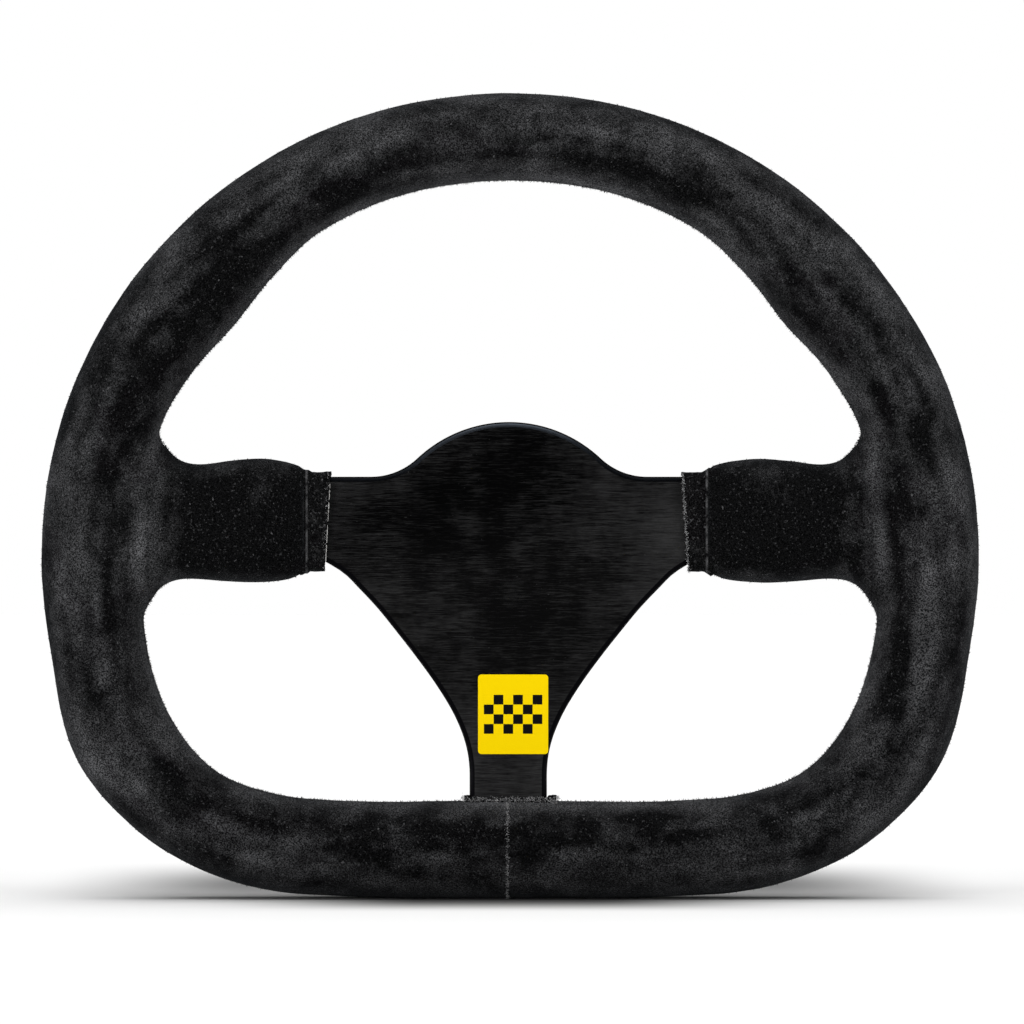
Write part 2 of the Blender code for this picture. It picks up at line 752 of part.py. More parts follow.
def make_sleeve():
    profile = [
        (SLEEVE_RAMP_R, SLEEVE_BACK),
        (SLEEVE_GRIP_R - WIDE_CHAMFER, SLEEVE_BACK),
        (SLEEVE_GRIP_R, SLEEVE_BACK - WIDE_CHAMFER),
        (SLEEVE_GRIP_R, SLEEVE_GRIP_START + SLEEVE_GRIP_SLOPE[0]),
        (SLEEVE_R, SLEEVE_GRIP_START - SLEEVE_GRIP_SLOPE[1]),
        (SLEEVE_R, SLEEVE_FRONT + CHAMFER),
        (SLEEVE_R - CHAMFER, SLEEVE_FRONT),
        (SLEEVE_BORE_R, SLEEVE_FRONT),
        (SLEEVE_BORE_R, SLEEVE_SHOULDER),
        (SLEEVE_LAND_R, SLEEVE_SHOULDER),
        (SLEEVE_LAND_R, BALL_PLANE),
        (SLEEVE_RAMP_R, SLEEVE_RAMP_END),
    ]
    sleeve = turned("release_sleeve", profile, 36, SLEEVE_LOOK, ring=True)
    scallops = [
        (place.x / MM, place.z / MM) for _, place in around_axis(SLEEVE_SCALLOPS, SLEEVE_SCALLOP_CENTRE_R)
    ]
    reach = (SLEEVE_GRIP_START * MM, SLEEVE_BACK * MM + OVERRUN)
    cut(sleeve, rod_cutter("sleeve scallops", scallops, SLEEVE_SCALLOP_R * MM, *reach, 10))


def wire(name, points, radius, look):
    curve = bpy.data.curves.new(name, "CURVE")
    curve.dimensions = "3D"
    curve.bevel_depth = radius
    curve.bevel_resolution = 2
    curve.use_fill_caps = True
    spline = curve.splines.new("POLY")
    spline.points.add(len(points) - 1)
    for target, point in zip(spline.points, points):
        target.co = (*point, 1)
    return mesh_of_curve(name, curve, look)


def make_spring():
    """A coil spring around the barrel, closed at both ends where it bears."""
    points = []
    steps = round(SPRING_TURNS * SPRING_STEPS_PER_TURN)
    for step in range(steps + 1):
        share = step / steps
        turn = math.tau * SPRING_TURNS * share
        ease = min(max((share - SPRING_DEAD_END) / (1 - 2 * SPRING_DEAD_END), 0.0), 1.0)
        y = SPRING_FRONT + (SPRING_BACK - SPRING_FRONT) * ease
        y += SPRING_END_RISE * (share - ease)
        points.append((SPRING_COIL_R * MM * math.cos(turn), y * MM, SPRING_COIL_R * MM * math.sin(turn)))
    round_off(wire("release_spring", points, SPRING_WIRE_R * MM, STEEL_LOOK))


def make_snap_ring():
    """A C-shaped ring in the barrel's groove. It stops the sleeve."""
    inner, outer = SNAP_RING_R
    front, back = SNAP_RING_Y
    section = [(inner, back), (outer, back), (outer, front), (inner, front)]
    arc = 360 - SNAP_RING_OPENING
    rings = []
    for step in range(SNAP_RING_STEPS + 1):
        turn = math.radians(-90 + SNAP_RING_OPENING / 2 + arc * step / SNAP_RING_STEPS)
        rings.append(
            [
                Vector((radius * MM * math.cos(turn), y * MM, radius * MM * math.sin(turn)))
                for radius, y in section
            ]
        )
    round_off(lofted("snap_ring", rings, STEEL_LOOK))


def make_balls():
    for number, (_, place) in enumerate(around_axis(BALLS, BALL_CIRCLE_R, math.pi / 6), start=1):
        shape = bmesh.new()
        bmesh.ops.create_uvsphere(shape, u_segments=10, v_segments=7, radius=BALL_R * MM)
        ball = from_bmesh(f"lock_ball_{number}", shape, BALL_LOOK)
        ball.location = (place.x, BALL_PLANE * MM, place.z)
        round_off(ball, 80)


clear_scene()
PARTS = new_collection("quick_release_steering_wheel")
CUTTERS = new_collection("cutters")
PLATE_CLEARANCE = plate_volume("plate clearance", GAP)

make_spoke_plate()
make_core()
make_rivets()
make_grip(PLATE_CLEARANCE)
make_collars(PLATE_CLEARANCE)
make_badge()
make_hub_body()
make_screws()
make_sleeve()
make_spring()
make_snap_ring()
make_balls()
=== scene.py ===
"""Quick release steering wheel, flat-bottomed, in black suede on a brushed black plate.

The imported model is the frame. Each section below makes one piece, or one group of like
pieces, with its shape, its finish and the body it rides on.
"""

import math
import random
from bisect import bisect_right

import bmesh
import bpy
import numpy as np
from mathutils import Matrix, Vector, noise
from mathutils.bvhtree import BVHTree


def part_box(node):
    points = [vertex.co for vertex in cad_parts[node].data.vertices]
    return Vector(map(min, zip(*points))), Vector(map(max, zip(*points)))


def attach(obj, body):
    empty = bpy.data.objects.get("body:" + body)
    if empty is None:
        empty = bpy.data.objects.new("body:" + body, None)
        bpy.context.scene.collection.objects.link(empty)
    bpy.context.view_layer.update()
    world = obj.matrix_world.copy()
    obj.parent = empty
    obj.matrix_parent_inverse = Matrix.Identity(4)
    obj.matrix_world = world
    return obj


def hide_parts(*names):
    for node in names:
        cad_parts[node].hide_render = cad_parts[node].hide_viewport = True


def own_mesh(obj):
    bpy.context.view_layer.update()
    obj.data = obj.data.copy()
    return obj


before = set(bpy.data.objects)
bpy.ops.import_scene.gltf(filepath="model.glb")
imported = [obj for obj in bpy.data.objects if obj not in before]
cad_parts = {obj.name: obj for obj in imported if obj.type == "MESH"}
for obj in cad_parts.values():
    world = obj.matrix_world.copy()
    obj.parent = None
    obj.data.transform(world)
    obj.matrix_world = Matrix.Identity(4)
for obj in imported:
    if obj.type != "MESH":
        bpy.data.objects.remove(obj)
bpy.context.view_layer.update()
MM = 0.001


# ------------------------------------------------------------------ studio
# White light all round and three lamps, with a long lens close to the steering axis.
# The wheel stands on its flat bottom, so the floor lies at its lowest point.

CAMERA_AWAY = 2.2
CAMERA_X, CAMERA_Z = 0.0005, 0.0117
VIEW_WIDTH = 0.2732
BACKDROP_GLOW = 0.07
rim_low, rim_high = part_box("rim_cover")
rim_plane_y = (rim_low.y + rim_high.y) / 2
floor_z = rim_low.z

scene = bpy.context.scene
scene.view_settings.view_transform = "Standard"
scene.view_settings.look = "None"

camera_data = bpy.data.cameras.new("camera")
camera_data.lens = camera_data.sensor_width * (CAMERA_AWAY + rim_plane_y) / VIEW_WIDTH
camera_data.clip_end = 20
camera = bpy.data.objects.new("camera", camera_data)
camera.location = (CAMERA_X, -CAMERA_AWAY, CAMERA_Z)
camera.rotation_euler = (math.pi / 2, 0, 0)
scene.collection.objects.link(camera)
scene.camera = camera

# The backdrop is white, but lights the wheel only weakly. A broad lamp over the wheel, a
# little in front of it, lights the floor. Two low lamps in front light the wheel's face.
world = bpy.data.worlds.new("white studio")
world.use_nodes = True
backdrop = world.node_tree.nodes["Background"]
backdrop.inputs["Color"].default_value = (1, 1, 1, 1)
seen = world.node_tree.nodes.new("ShaderNodeLightPath")
level = world.node_tree.nodes.new("ShaderNodeMapRange")
level.inputs["To Min"].default_value = BACKDROP_GLOW
level.inputs["To Max"].default_value = 1.0
world.node_tree.links.new(seen.outputs["Is Camera Ray"], level.inputs["Value"])
world.node_tree.links.new(level.outputs["Result"], backdrop.inputs["Strength"])
scene.world = world

# Each lamp: where its light comes from, its strength and how wide it is, in degrees.
LAMPS = (
    ("top lamp", (0.0, -0.12, 1.0), 3.4, 84),
    ("left front lamp", (-1.0, -0.9, 0.1), 1.75, 24),
    ("right front lamp", (1.0, -0.9, 0.1), 1.05, 24),
)
for lamp_name, place, strength, width in LAMPS:
    lamp_data = bpy.data.lights.new(lamp_name, "SUN")
    lamp_data.energy = strength
    lamp_data.angle = math.radians(width)
    lamp = bpy.data.objects.new(lamp_name, lamp_data)
    lamp.location = place
    lamp.rotation_euler = Vector(place).to_track_quat("Z", "Y").to_euler()
    scene.collection.objects.link(lamp)


# ------------------------------------------------------------------ suede finish
# Black split leather with a loose nap. Brushing lays the nap one way or the other, so the
# skin is a patchwork of darker and lighter patches under a fine, fibrous grain.


class Wire:
    """One socket of a material's nodes. Python's operators on it add Math nodes."""

    def __init__(self, tree, socket=None):
        self.tree = tree
        self.socket = socket

    def node(self, kind, settings=None, output=0, **inputs):
        """Adds a node: its settings first, then its sockets, by name with _ for a space, or by number."""
        made = self.tree.nodes.new(kind)
        for key, value in (settings or {}).items():
            setattr(made, key, value)
        for key, value in inputs.items():
            name = key.replace("_", " ")
            socket = made.inputs[int(key[1:])] if key[1:].isdigit() else made.inputs[name]
            if isinstance(value, Wire):
                self.tree.links.new(value.socket, socket)
            else:
                socket.default_value = value
        return Wire(self.tree, made.outputs[output])

    def axis(self, letter):
        """One part of a place: its X, Y or Z."""
        return self.node("ShaderNodeSeparateXYZ", output=letter, Vector=self)

    def maths(self, operation, a, b=0.0, clamp=False):
        return self.node("ShaderNodeMath", {"operation": operation, "use_clamp": clamp}, n0=a, n1=b)

    def __add__(self, other):
        return self.maths("ADD", self, other)

    def __radd__(self, other):
        return self.maths("ADD", other, self)

    def __sub__(self, other):
        return self.maths("SUBTRACT", self, other)

    def __rsub__(self, other):
        return self.maths("SUBTRACT", other, self)

    def __mul__(self, other):
        return self.maths("MULTIPLY", self, other)

    def __rmul__(self, other):
        return self.maths("MULTIPLY", other, self)

    def __truediv__(self, other):
        return self.maths("DIVIDE", self, other)

    def __pow__(self, other):
        return self.maths("POWER", self, other)

    def absolute(self):
        return self.maths("ABSOLUTE", self)

    def clamped(self):
        return self.maths("ADD", self, 0.0, clamp=True)

    def above(self, edge, softness):
        """0 below an edge and 1 above it, with a soft step between."""
        return ((self - (edge - softness)) * (0.5 / softness)).clamped()

    def blend(self, low, high):
        """low where this is 0 and high where it is 1. Each is a grey, a colour or a wire."""
        ends = [(end, end, end) if isinstance(end, float) else end for end in (low, high)]
        ends = [(*end, 1) if isinstance(end, tuple) else end for end in ends]
        return self.node(
            "ShaderNodeMix", {"data_type": "RGBA"}, output=2, Factor=self, n6=ends[0], n7=ends[1]
        )


def new_finish(name, roughness, metallic=0.0):
    """A material, its shader's sockets, and a wire to build on with its place on the object."""
    finish = bpy.data.materials.new(name)
    finish.use_nodes = True
    tree = finish.node_tree
    shader = tree.nodes["Principled BSDF"]
    shader.inputs["Roughness"].default_value = roughness
    shader.inputs["Metallic"].default_value = metallic
    place = Wire(tree).node("ShaderNodeTexCoord", output="Object")
    return finish, shader, place


def cloud(place, scale, detail=2.0, roughness=0.5, stretch=None, distortion=0.0):
    if stretch:
        place = place.node("ShaderNodeMapping", Vector=place, Scale=stretch)
    return place.node(
        "ShaderNodeTexNoise",
        Vector=place,
        Scale=scale,
        Detail=detail,
        Roughness=roughness,
        Distortion=distortion,
    )


def join(wire, shader, socket):
    wire.tree.links.new(wire.socket, shader.inputs[socket])


def bump(place, height, strength, distance):
    return place.node("ShaderNodeBump", Height=height, Strength=strength, Distance=distance)


def suede(name, dark, light, sheen=0.05, nap_and_painted_light_from_skin=True):
    """Suede from one colour where the nap lies flat to another where it stands up. On the rim skin, the nap
    values read from the mesh also carry painted light, shade and sheen.
    """
    finish, shader, place = new_finish(name, 0.95)
    patches = cloud(place, 95, 4.0, 0.6, distortion=0.9)
    strokes = cloud(place, 260, 3.0, 0.6, distortion=0.6)
    grain = cloud(place, 2900, 1.0, 0.6)
    clumps = cloud(place, 1500, 1.0)
    fibres = cloud(place, 5200, 2.0, 0.7)
    if nap_and_painted_light_from_skin:
        # The mesh's nap values hold nap strokes and painted light and shade bands.
        nap_and_painted_light = place.node("ShaderNodeAttribute", {"attribute_name": "nap"}, output="Fac")
    else:
        nap_and_painted_light = 0.12
    nap = (nap_and_painted_light * 0.95 + patches * 0.7 + strokes * 0.5 - 0.755).clamped()
    speckle = grain.above(0.53, 0.14)
    flecks = clumps.above(0.68, 0.06) * grain.above(0.42, 0.1)
    tone = nap ** 1.3 * (0.14 + speckle * 1.4) + flecks * 0.28 + speckle * 0.05
    lint = cloud(place, 1300, 0.0).above(0.81, 0.01) * cloud(place, 350, 0.0).above(0.56, 0.05)
    base = tone.clamped().blend(dark, light)
    join((lint * 0.5).blend(base, (0.13, 0.13, 0.135)), shader, "Base Color")
    height = grain * 0.6 + fibres * 0.4 + patches * 0.5
    join(bump(place, height, 0.7, 0.0005), shader, "Normal")
    shader.inputs["Specular IOR Level"].default_value = 0.01
    shader.inputs["Sheen Weight"].default_value = sheen
    shader.inputs["Sheen Roughness"].default_value = 0.35
    shader.inputs["Sheen Tint"].default_value = (0.75, 0.8, 0.88, 1)
    return finish


rim_suede = suede("black suede", (0.0010, 0.0010, 0.0011), (0.115, 0.116, 0.121))


# ------------------------------------------------------------------ floor
# White paper with painted shadow: a broad, soft grey pool of painted shadow behind the wheel,
# and a narrower, deeper one along the flat of the rim.

# Each painted shadow pool: where its side edges lie and how soft they are, its middle in y, half its depth,
# and how dark it is.
PAINTED_SHADOW_POOLS = (
    (101 * MM, 33 * MM, 77 * MM, 150 * MM, 0.8),
    (54 * MM, 33 * MM, -20 * MM, 66 * MM, 0.97),
)


def white_paper_with_painted_shadow():
    finish, shader, place = new_finish("white paper, painted shadow", 0.9)
    across = place.axis("X")
    deep = place.axis("Y")
    light = 1.0
    for side, softness, middle, half_depth, shadow_darkness in PAINTED_SHADOW_POOLS:
        share = 1 - across.absolute().above(side, softness)
        off = (deep - middle) / half_depth
        shadow_pool = (1 - off * off).clamped()
        # The paper is darkened by each pool of painted shadow.
        light = light * (1 - share * share * (3 - share * 2) * shadow_pool * shadow_pool * shadow_darkness)
    join(light.blend(0.012, 0.875), shader, "Base Color")
    return finish


bpy.ops.object.select_all(action="DESELECT")
bpy.ops.mesh.primitive_plane_add(size=12, location=(0, 0, floor_z))
floor = bpy.context.object
floor.name = "studio_floor"
floor.data.materials.append(white_paper_with_painted_shadow())


# ------------------------------------------------------------------ rim skin and spoke wraps
# One skin of black suede, glued tight over the moulded foam of the rim and of the two side
# grips. It is cut in three panels: the rim cover, closed by a butt seam at the bottom, and
# a wrap for each grip, joined to it by a seam where the grip runs into the rim.

SUEDE_THICKNESS = 1.3 * MM
WEAVE_VOXEL = 1.2 * MM
RIM_HALF_DEPTH = 14.0 * MM
RIM_SQUARENESS = 2.3
GRIP_SQUARENESS = 2.6
SEAM_BEND_Z = 9.0 * MM
SEAM_X = 96.0 * MM
BOTTOM_SEAM_X = -0.7 * MM

# Right half of the rim: angle above the horizontal, outer radius and inner radius in mm.
RIM_OUTLINE = (
    (-90, 91.4, 65.2),
    (-81, 92.4, 66.1),
    (-72, 96.0, 68.8),
    (-63, 101.8, 73.6),
    (-54, 110.2, 80.4),
    (-45, 117.9, 89.5),
    (-36, 123.9, 97.3),
    (-25, 127.7, 100.3),
    (-12, 125.3, 99.6),
    (0, 125.1, 98.0),
    (20, 125.2, 99.4),
    (30, 124.9, 97.9),
    (40, 124.7, 95.8),
    (50, 124.4, 97.8),
    (60, 124.2, 100.2),
    (90, 123.5, 100.1),
)

# Side grip: distance from the axis, top, bottom and half depth in mm.
GRIP_OUTLINE = (
    (54.7, 23.9, -4.6, 6.2),
    (58.5, 25.0, -6.3, 8.8),
    (66.0, 26.1, -7.1, 11.4),
    (75.0, 25.4, -6.9, 12.4),
    (84.0, 24.4, -6.2, 12.8),
    (89.5, 26.4, -6.5, 13.1),
    (94.0, 32.4, -9.0, 13.4),
    (98.0, 38.0, -15.0, 13.5),
    (110.0, 38.0, -15.0, 12.4),
)


def smooth_row(table, at):
    """A table's values at one place along it, on a smooth curve through its rows."""
    keys = [row[0] for row in table]
    i = min(max(bisect_right(keys, at) - 1, 0), len(table) - 2)
    span = keys[i + 1] - keys[i]
    t = (at - keys[i]) / span

    def slope(row, column):
        if row in (0, len(table) - 1):
            return 0.0
        rise = table[row + 1][column] - table[row - 1][column]
        return rise / (keys[row + 1] - keys[row - 1])

    return [
        table[i][c] * (2 * t**3 - 3 * t**2 + 1)
        + table[i + 1][c] * (3 * t**2 - 2 * t**3)
        + slope(i, c) * span * (t**3 - 2 * t**2 + t)
        + slope(i + 1, c) * span * (t**3 - t**2)
        for c in range(1, len(table[0]))
    ]


def rim_edges(turn):
    """Outer and inner radius of the rim at an angle in radians, in metres."""
    outer, inner = smooth_row(RIM_OUTLINE, math.degrees(math.asin(math.sin(turn))))
    return outer * MM, inner * MM


def squared(angle, squareness):
    """A point of a unit oval that is fuller than a circle, as (cosine, sine)."""
    c, s = math.cos(angle), math.sin(angle)
    power = 2 / squareness
    return math.copysign(abs(c) ** power, c), math.copysign(abs(s) ** power, s)


def rim_point(turn, around, out=0.0):
    """A place on the rim's skin: turn is round the wheel, around is round the grip from its outer side."""
    outer, inner = rim_edges(turn)
    across, depth = squared(around, RIM_SQUARENESS)
    radius = (outer + inner) / 2 + ((outer - inner) / 2 + out) * across
    return Vector(
        (radius * math.cos(turn), rim_plane_y + (RIM_HALF_DEPTH + out) * depth, radius * math.sin(turn))
    )


def only(*things):
    """Selects these objects and nothing else. The first is the active one."""
    bpy.ops.object.select_all(action="DESELECT")
    for thing in things:
        thing.select_set(True)
    bpy.context.view_layer.objects.active = things[0]
    return things[0]


def plain(add, **settings):
    """One of Blender's plain shapes, with its place and turn held in its mesh."""
    bpy.ops.object.select_all(action="DESELECT")
    add(**settings)
    bpy.ops.object.transform_apply(location=True, rotation=True, scale=True)
    return bpy.context.object


def clamp(value):
    return min(max(value, 0.0), 1.0)


def facing_out(thing):
    """Turns all of a closed shape's faces outwards."""
    only(thing)
    bpy.ops.object.mode_set(mode="EDIT")
    bpy.ops.mesh.select_all(action="SELECT")
    bpy.ops.mesh.normals_make_consistent(inside=False)
    bpy.ops.object.mode_set(mode="OBJECT")


def apply_all(thing):
    only(thing)
    for modifier in list(thing.modifiers):
        bpy.ops.object.modifier_apply(modifier=modifier.name)


TORUS_R, TORUS_TUBE_R = 0.112, 0.014
skin = plain(
    bpy.ops.mesh.primitive_torus_add,
    major_segments=260,
    minor_segments=48,
    major_radius=TORUS_R,
    minor_radius=TORUS_TUBE_R,
    rotation=(math.pi / 2, 0, 0),
)
for vertex in skin.data.vertices:
    x, y, z = vertex.co
    turn = math.atan2(z, x)
    around = math.atan2(y, math.hypot(x, z) - TORUS_R)
    vertex.co = rim_point(turn, around)

# The right wrap starts a little nearer the hub than the left one, as hand work does.
GRIP_START = {-1: 54.7, 1: 52.6}
GRIP_FULL = 66.0
GRIP_RINGS = 44
grips = []
for side in (-1, 1):
    grip = plain(
        bpy.ops.mesh.primitive_uv_sphere_add,
        segments=56,
        ring_count=GRIP_RINGS,
        radius=1,
        rotation=(0, math.pi / 2, 0),
    )
    first, last = GRIP_START[side], GRIP_OUTLINE[-1][0]
    stretch = (GRIP_FULL - GRIP_OUTLINE[0][0]) / (GRIP_FULL - first)
    for vertex in grip.data.vertices:
        share = math.acos(max(-1.0, min(1.0, vertex.co.x))) / math.pi
        ring = clamp((share - 1 / GRIP_RINGS) / (1 - 2 / GRIP_RINGS))
        place = last + (first - last) * ring
        row = GRIP_FULL - max(GRIP_FULL - place, 0.0) * stretch if place < GRIP_FULL else place
        top, bottom, half_depth = smooth_row(GRIP_OUTLINE, row)
        up, depth = squared(math.atan2(vertex.co.y, vertex.co.z), GRIP_SQUARENESS)
        if share < 0.001 or share > 0.999:
            up = depth = 0.0
        vertex.co = Vector(
            (
                side * place * MM,
                rim_plane_y + half_depth * MM * depth,
                ((top + bottom) / 2 + (top - bottom) / 2 * up) * MM,
            )
        )
    facing_out(grip)
    grips.append(grip)

only(skin, *grips)
bpy.ops.object.join()
skin = bpy.context.object
skin.name = "rim_skin"
merge = skin.modifiers.new("one skin", "REMESH")
merge.mode = "VOXEL"
merge.voxel_size = WEAVE_VOXEL
relax = skin.modifiers.new("pulled tight", "SMOOTH")
relax.factor = 0.5
relax.iterations = 14
apply_all(skin)

# Under the back of the rim, facing the hub, the cover's two edges are drawn together. The
# skin dips there, and it is nowhere quite even, because foam and leather are not.

SEAM_AROUND = math.radians(140)
SEAM_WIDTH = 1.1 * MM
SEAM_DEPTH = 0.7 * MM
SEAM_EDGE_AT, SEAM_EDGE_WIDTH, SEAM_EDGE_RISE = 2.4 * MM, 1.4 * MM, 0.18 * MM
STITCH_PITCH = 4.4 * MM
UPPER_SEAM = (math.radians(27), math.radians(153))
LOWER_SEAM = (math.radians(-163), math.radians(-17))


def rim_spot(point):
    """A point's angle round the wheel, and its place from the grip's inner edge, -1, to its outer, 1."""
    turn = math.atan2(point.z, point.x)
    outer, inner = rim_edges(turn)
    return turn, (math.hypot(point.x, point.z) - (outer + inner) / 2) / ((outer - inner) / 2)


def rim_seam_distance(point):
    """How far a point of the skin is from the rim's stitched seam, across it."""
    turn, across = rim_spot(point)
    if not (UPPER_SEAM[0] < turn < UPPER_SEAM[1] or LOWER_SEAM[0] < turn < LOWER_SEAM[1]):
        return 1.0
    around = math.atan2((point.y - rim_plane_y) / RIM_HALF_DEPTH, across)
    return (around - SEAM_AROUND) * RIM_HALF_DEPTH


def wrap_seam_distance(point):
    """The same for the seam along the back of each side grip."""
    if not 57 * MM < abs(point.x) < 93 * MM or point.y < rim_plane_y:
        return 1.0
    return point.z - SEAM_BEND_Z


def bulge(at, centre, width):
    return math.exp(-(((at - centre) / width) ** 2))


# Painted light and shade across the rim: a lighter outer half, a darker band inside it and a
# lighter inner edge. Each band: how far, the place and the width.
RIM_PAINTED_LIGHT_BANDS = ((0.1, 0.5, 0.3), (-0.16, -0.4, 0.22), (0.26, -0.98, 0.14))
GRIP_NAP_AND_SHEEN_END_X, GRIP_NAP_AND_SHEEN_FADE = 94 * MM, 9 * MM
GRIP_NAP_AND_SHEEN_REACH_Z, GRIP_HALF_HEIGHT = 25 * MM, 15.5 * MM


def nap_and_painted_light_at(point):
    """Nap strokes along the rim, with painted light and shade across it; flat nap on the grips, with painted
    sheen along their top and bottom edges.
    """
    turn, across = rim_spot(point)
    along = Vector((math.cos(turn) * 3.4, math.sin(turn) * 3.4, across * 1.6))
    rim = 0.44 + 0.22 * noise.noise(along) + 0.34 * noise.noise(along * 2.3 + Vector((5, 2, 8)))
    # Painted light and shade: bands across the rim, lighter outside, darker inside, lighter at the inner
    # edge.
    rim += sum(rise * bulge(across, centre, width) for rise, centre, width in RIM_PAINTED_LIGHT_BANDS)
    # Darker low on the rim and at its upper left.
    rim -= 0.06 * bulge(point.z, -78 * MM, 16 * MM) + 0.1 * bulge(turn, 2.35, 0.45)
    up = point.z - SEAM_BEND_Z
    share = 0.0
    if abs(up) < GRIP_NAP_AND_SHEEN_REACH_Z:
        share = clamp((GRIP_NAP_AND_SHEEN_END_X - abs(point.x)) / GRIP_NAP_AND_SHEEN_FADE)
    # Painted sheen: the grips are lighter along their top and bottom edges.
    edge = bulge(abs(up / GRIP_HALF_HEIGHT), 1.0, 0.28)
    grip = 0.02 + 0.28 * edge + 0.18 * noise.noise(point * 90)
    return rim * (1 - share) + grip * share


# The skin's "nap" values carry the nap strokes and the painted light, shade and sheen.
nap_and_painted_light_layer = skin.data.attributes.new("nap", "FLOAT", "POINT")
nap_and_painted_light_layer.data.foreach_set("value", [nap_and_painted_light_at(v.co) for v in skin.data.vertices])

for vertex, normal in zip(skin.data.vertices, [v.normal.copy() for v in skin.data.vertices]):
    place = vertex.co.copy()
    swell = 0.16 * noise.noise(place * 55) + 0.07 * noise.noise(place * 170 + Vector((7, 3, 1)))
    near = min(abs(rim_seam_distance(place)), abs(wrap_seam_distance(place)))
    dip = SEAM_DEPTH * bulge(near, 0.0, SEAM_WIDTH)
    dip -= SEAM_EDGE_RISE * bulge(near, SEAM_EDGE_AT, SEAM_EDGE_WIDTH)
    vertex.co = place + normal * (swell * MM - dip)

# The panels' seams: the skin is cut along them, and both edges are turned in.

ROOT_X = (84 * MM, 108 * MM)
ROOT_Z = (-22 * MM, 38 * MM)
SEAM_LEAN = 0.17
BUTT_HALF_WIDTH, BUTT_TOP_Z = 6 * MM, -50 * MM
EDGE_TUCK = 0.3 * MM


def seam_cut(low_z, high_z, place, normal):
    """Cuts the faces of one grip root along a plane."""
    side = math.copysign(1, place[0])
    bpy.ops.object.mode_set(mode="OBJECT")
    for face in skin.data.polygons:
        x, _, z = face.center
        face.select = ROOT_X[0] < x * side < ROOT_X[1] and low_z < z < high_z
    bpy.ops.object.mode_set(mode="EDIT")
    bpy.ops.mesh.bisect(plane_co=place, plane_no=normal)


only(skin)
bpy.ops.object.mode_set(mode="EDIT")
bpy.ops.mesh.select_mode(type="FACE")
for side in (-1, 1):
    at = (side * SEAM_X, 0, SEAM_BEND_Z)
    seam_cut(*ROOT_Z, at, (0, 0, 1))
    bpy.ops.mesh.select_all(action="DESELECT")
    seam_cut(ROOT_Z[0], SEAM_BEND_Z, at, (1, 0, 0))
    bpy.ops.mesh.edge_split(type="EDGE")
    seam_cut(SEAM_BEND_Z, ROOT_Z[1], at, (1, 0, side * SEAM_LEAN))
    bpy.ops.mesh.edge_split(type="EDGE")
bpy.ops.object.mode_set(mode="OBJECT")
for face in skin.data.polygons:
    face.select = abs(face.center.x) < BUTT_HALF_WIDTH and face.center.z < BUTT_TOP_Z
bpy.ops.object.mode_set(mode="EDIT")
bpy.ops.mesh.bisect(plane_co=(BOTTOM_SEAM_X, 0, 0), plane_no=(1, 0, 0))
bpy.ops.mesh.edge_split(type="EDGE")
bpy.ops.mesh.select_all(action="SELECT")
bpy.ops.mesh.separate(type="LOOSE")
bpy.ops.object.mode_set(mode="OBJECT")
panels = [thing for thing in bpy.context.selected_objects if thing.type == "MESH"]
panels.sort(key=lambda thing: -len(thing.data.polygons))
for scrap in panels[3:]:
    bpy.data.objects.remove(scrap)
del panels[3:]
rim_skin, *wraps = panels


def turned_in(panel):
    shape = bmesh.new()
    shape.from_mesh(panel.data)
    bmesh.ops.remove_doubles(shape, verts=shape.verts, dist=0.02 * MM)
    shape.normal_update()
    rim_verts = {v for v in shape.verts if v.is_boundary}
    next_verts = {e.other_vert(v) for v in rim_verts for e in v.link_edges} - rim_verts
    for vertex in rim_verts:
        vertex.co -= vertex.normal * EDGE_TUCK
    for vertex in next_verts:
        vertex.co -= vertex.normal * EDGE_TUCK * 0.3
    shape.to_mesh(panel.data)
    shape.free()
    leather = panel.modifiers.new("leather", "SOLIDIFY")
    leather.thickness = SUEDE_THICKNESS
    leather.offset = -1
    apply_all(panel)
    panel.data.materials.clear()
    panel.data.materials.append(rim_suede)
    panel.data.shade_smooth()
    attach(panel, "wheel")


# The skin as it is before its edges are turned in, for stitches and fibres to stand on.
skin_points, skin_faces, skin_triangles = [], [], []
for panel in panels:
    offset = len(skin_points)
    skin_points += [v.co.copy() for v in panel.data.vertices]
    for face in panel.data.polygons:
        corners = [i + offset for i in face.vertices]
        skin_faces.append(corners)
        skin_triangles.append([skin_points[i] for i in corners[:3]])
skin_surface = BVHTree.FromPolygons(skin_points, skin_faces)

for panel in panels:
    turned_in(panel)
rim_skin.name = "rim_skin"
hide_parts("rim_cover")
for wrap in wraps:
    word = "left" if wrap.data.vertices[0].co.x < 0 else "right"
    wrap.name = f"grip_skin_{word}"
    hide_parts(f"spoke_wrap_{word}")


# ------------------------------------------------------------------ seam stitches
# Waxed black thread, whipped by hand over the two edges of the cover, every 4.4 mm along
# the inside of the rim, and down the back of each side grip.

THREAD_R = 0.38 * MM
STITCH_REACH, STITCH_BOW = 2.1 * MM, 0.45 * MM
STITCH_LIFT, STITCH_LEAN = 0.12 * MM, 0.55
GRIP_STITCHES, GRIP_STITCH_START = 8, 59.5
GRIP_SEAM_Y = rim_plane_y + 13 * MM


def thread_finish():
    finish, shader, place = new_finish("black waxed thread", 0.55)
    twist = cloud(place, 900, 1.0)
    join(twist.blend(0.004, (0.02, 0.02, 0.021)), shader, "Base Color")
    join(bump(place, twist, 0.5, 0.0002), shader, "Normal")
    return finish


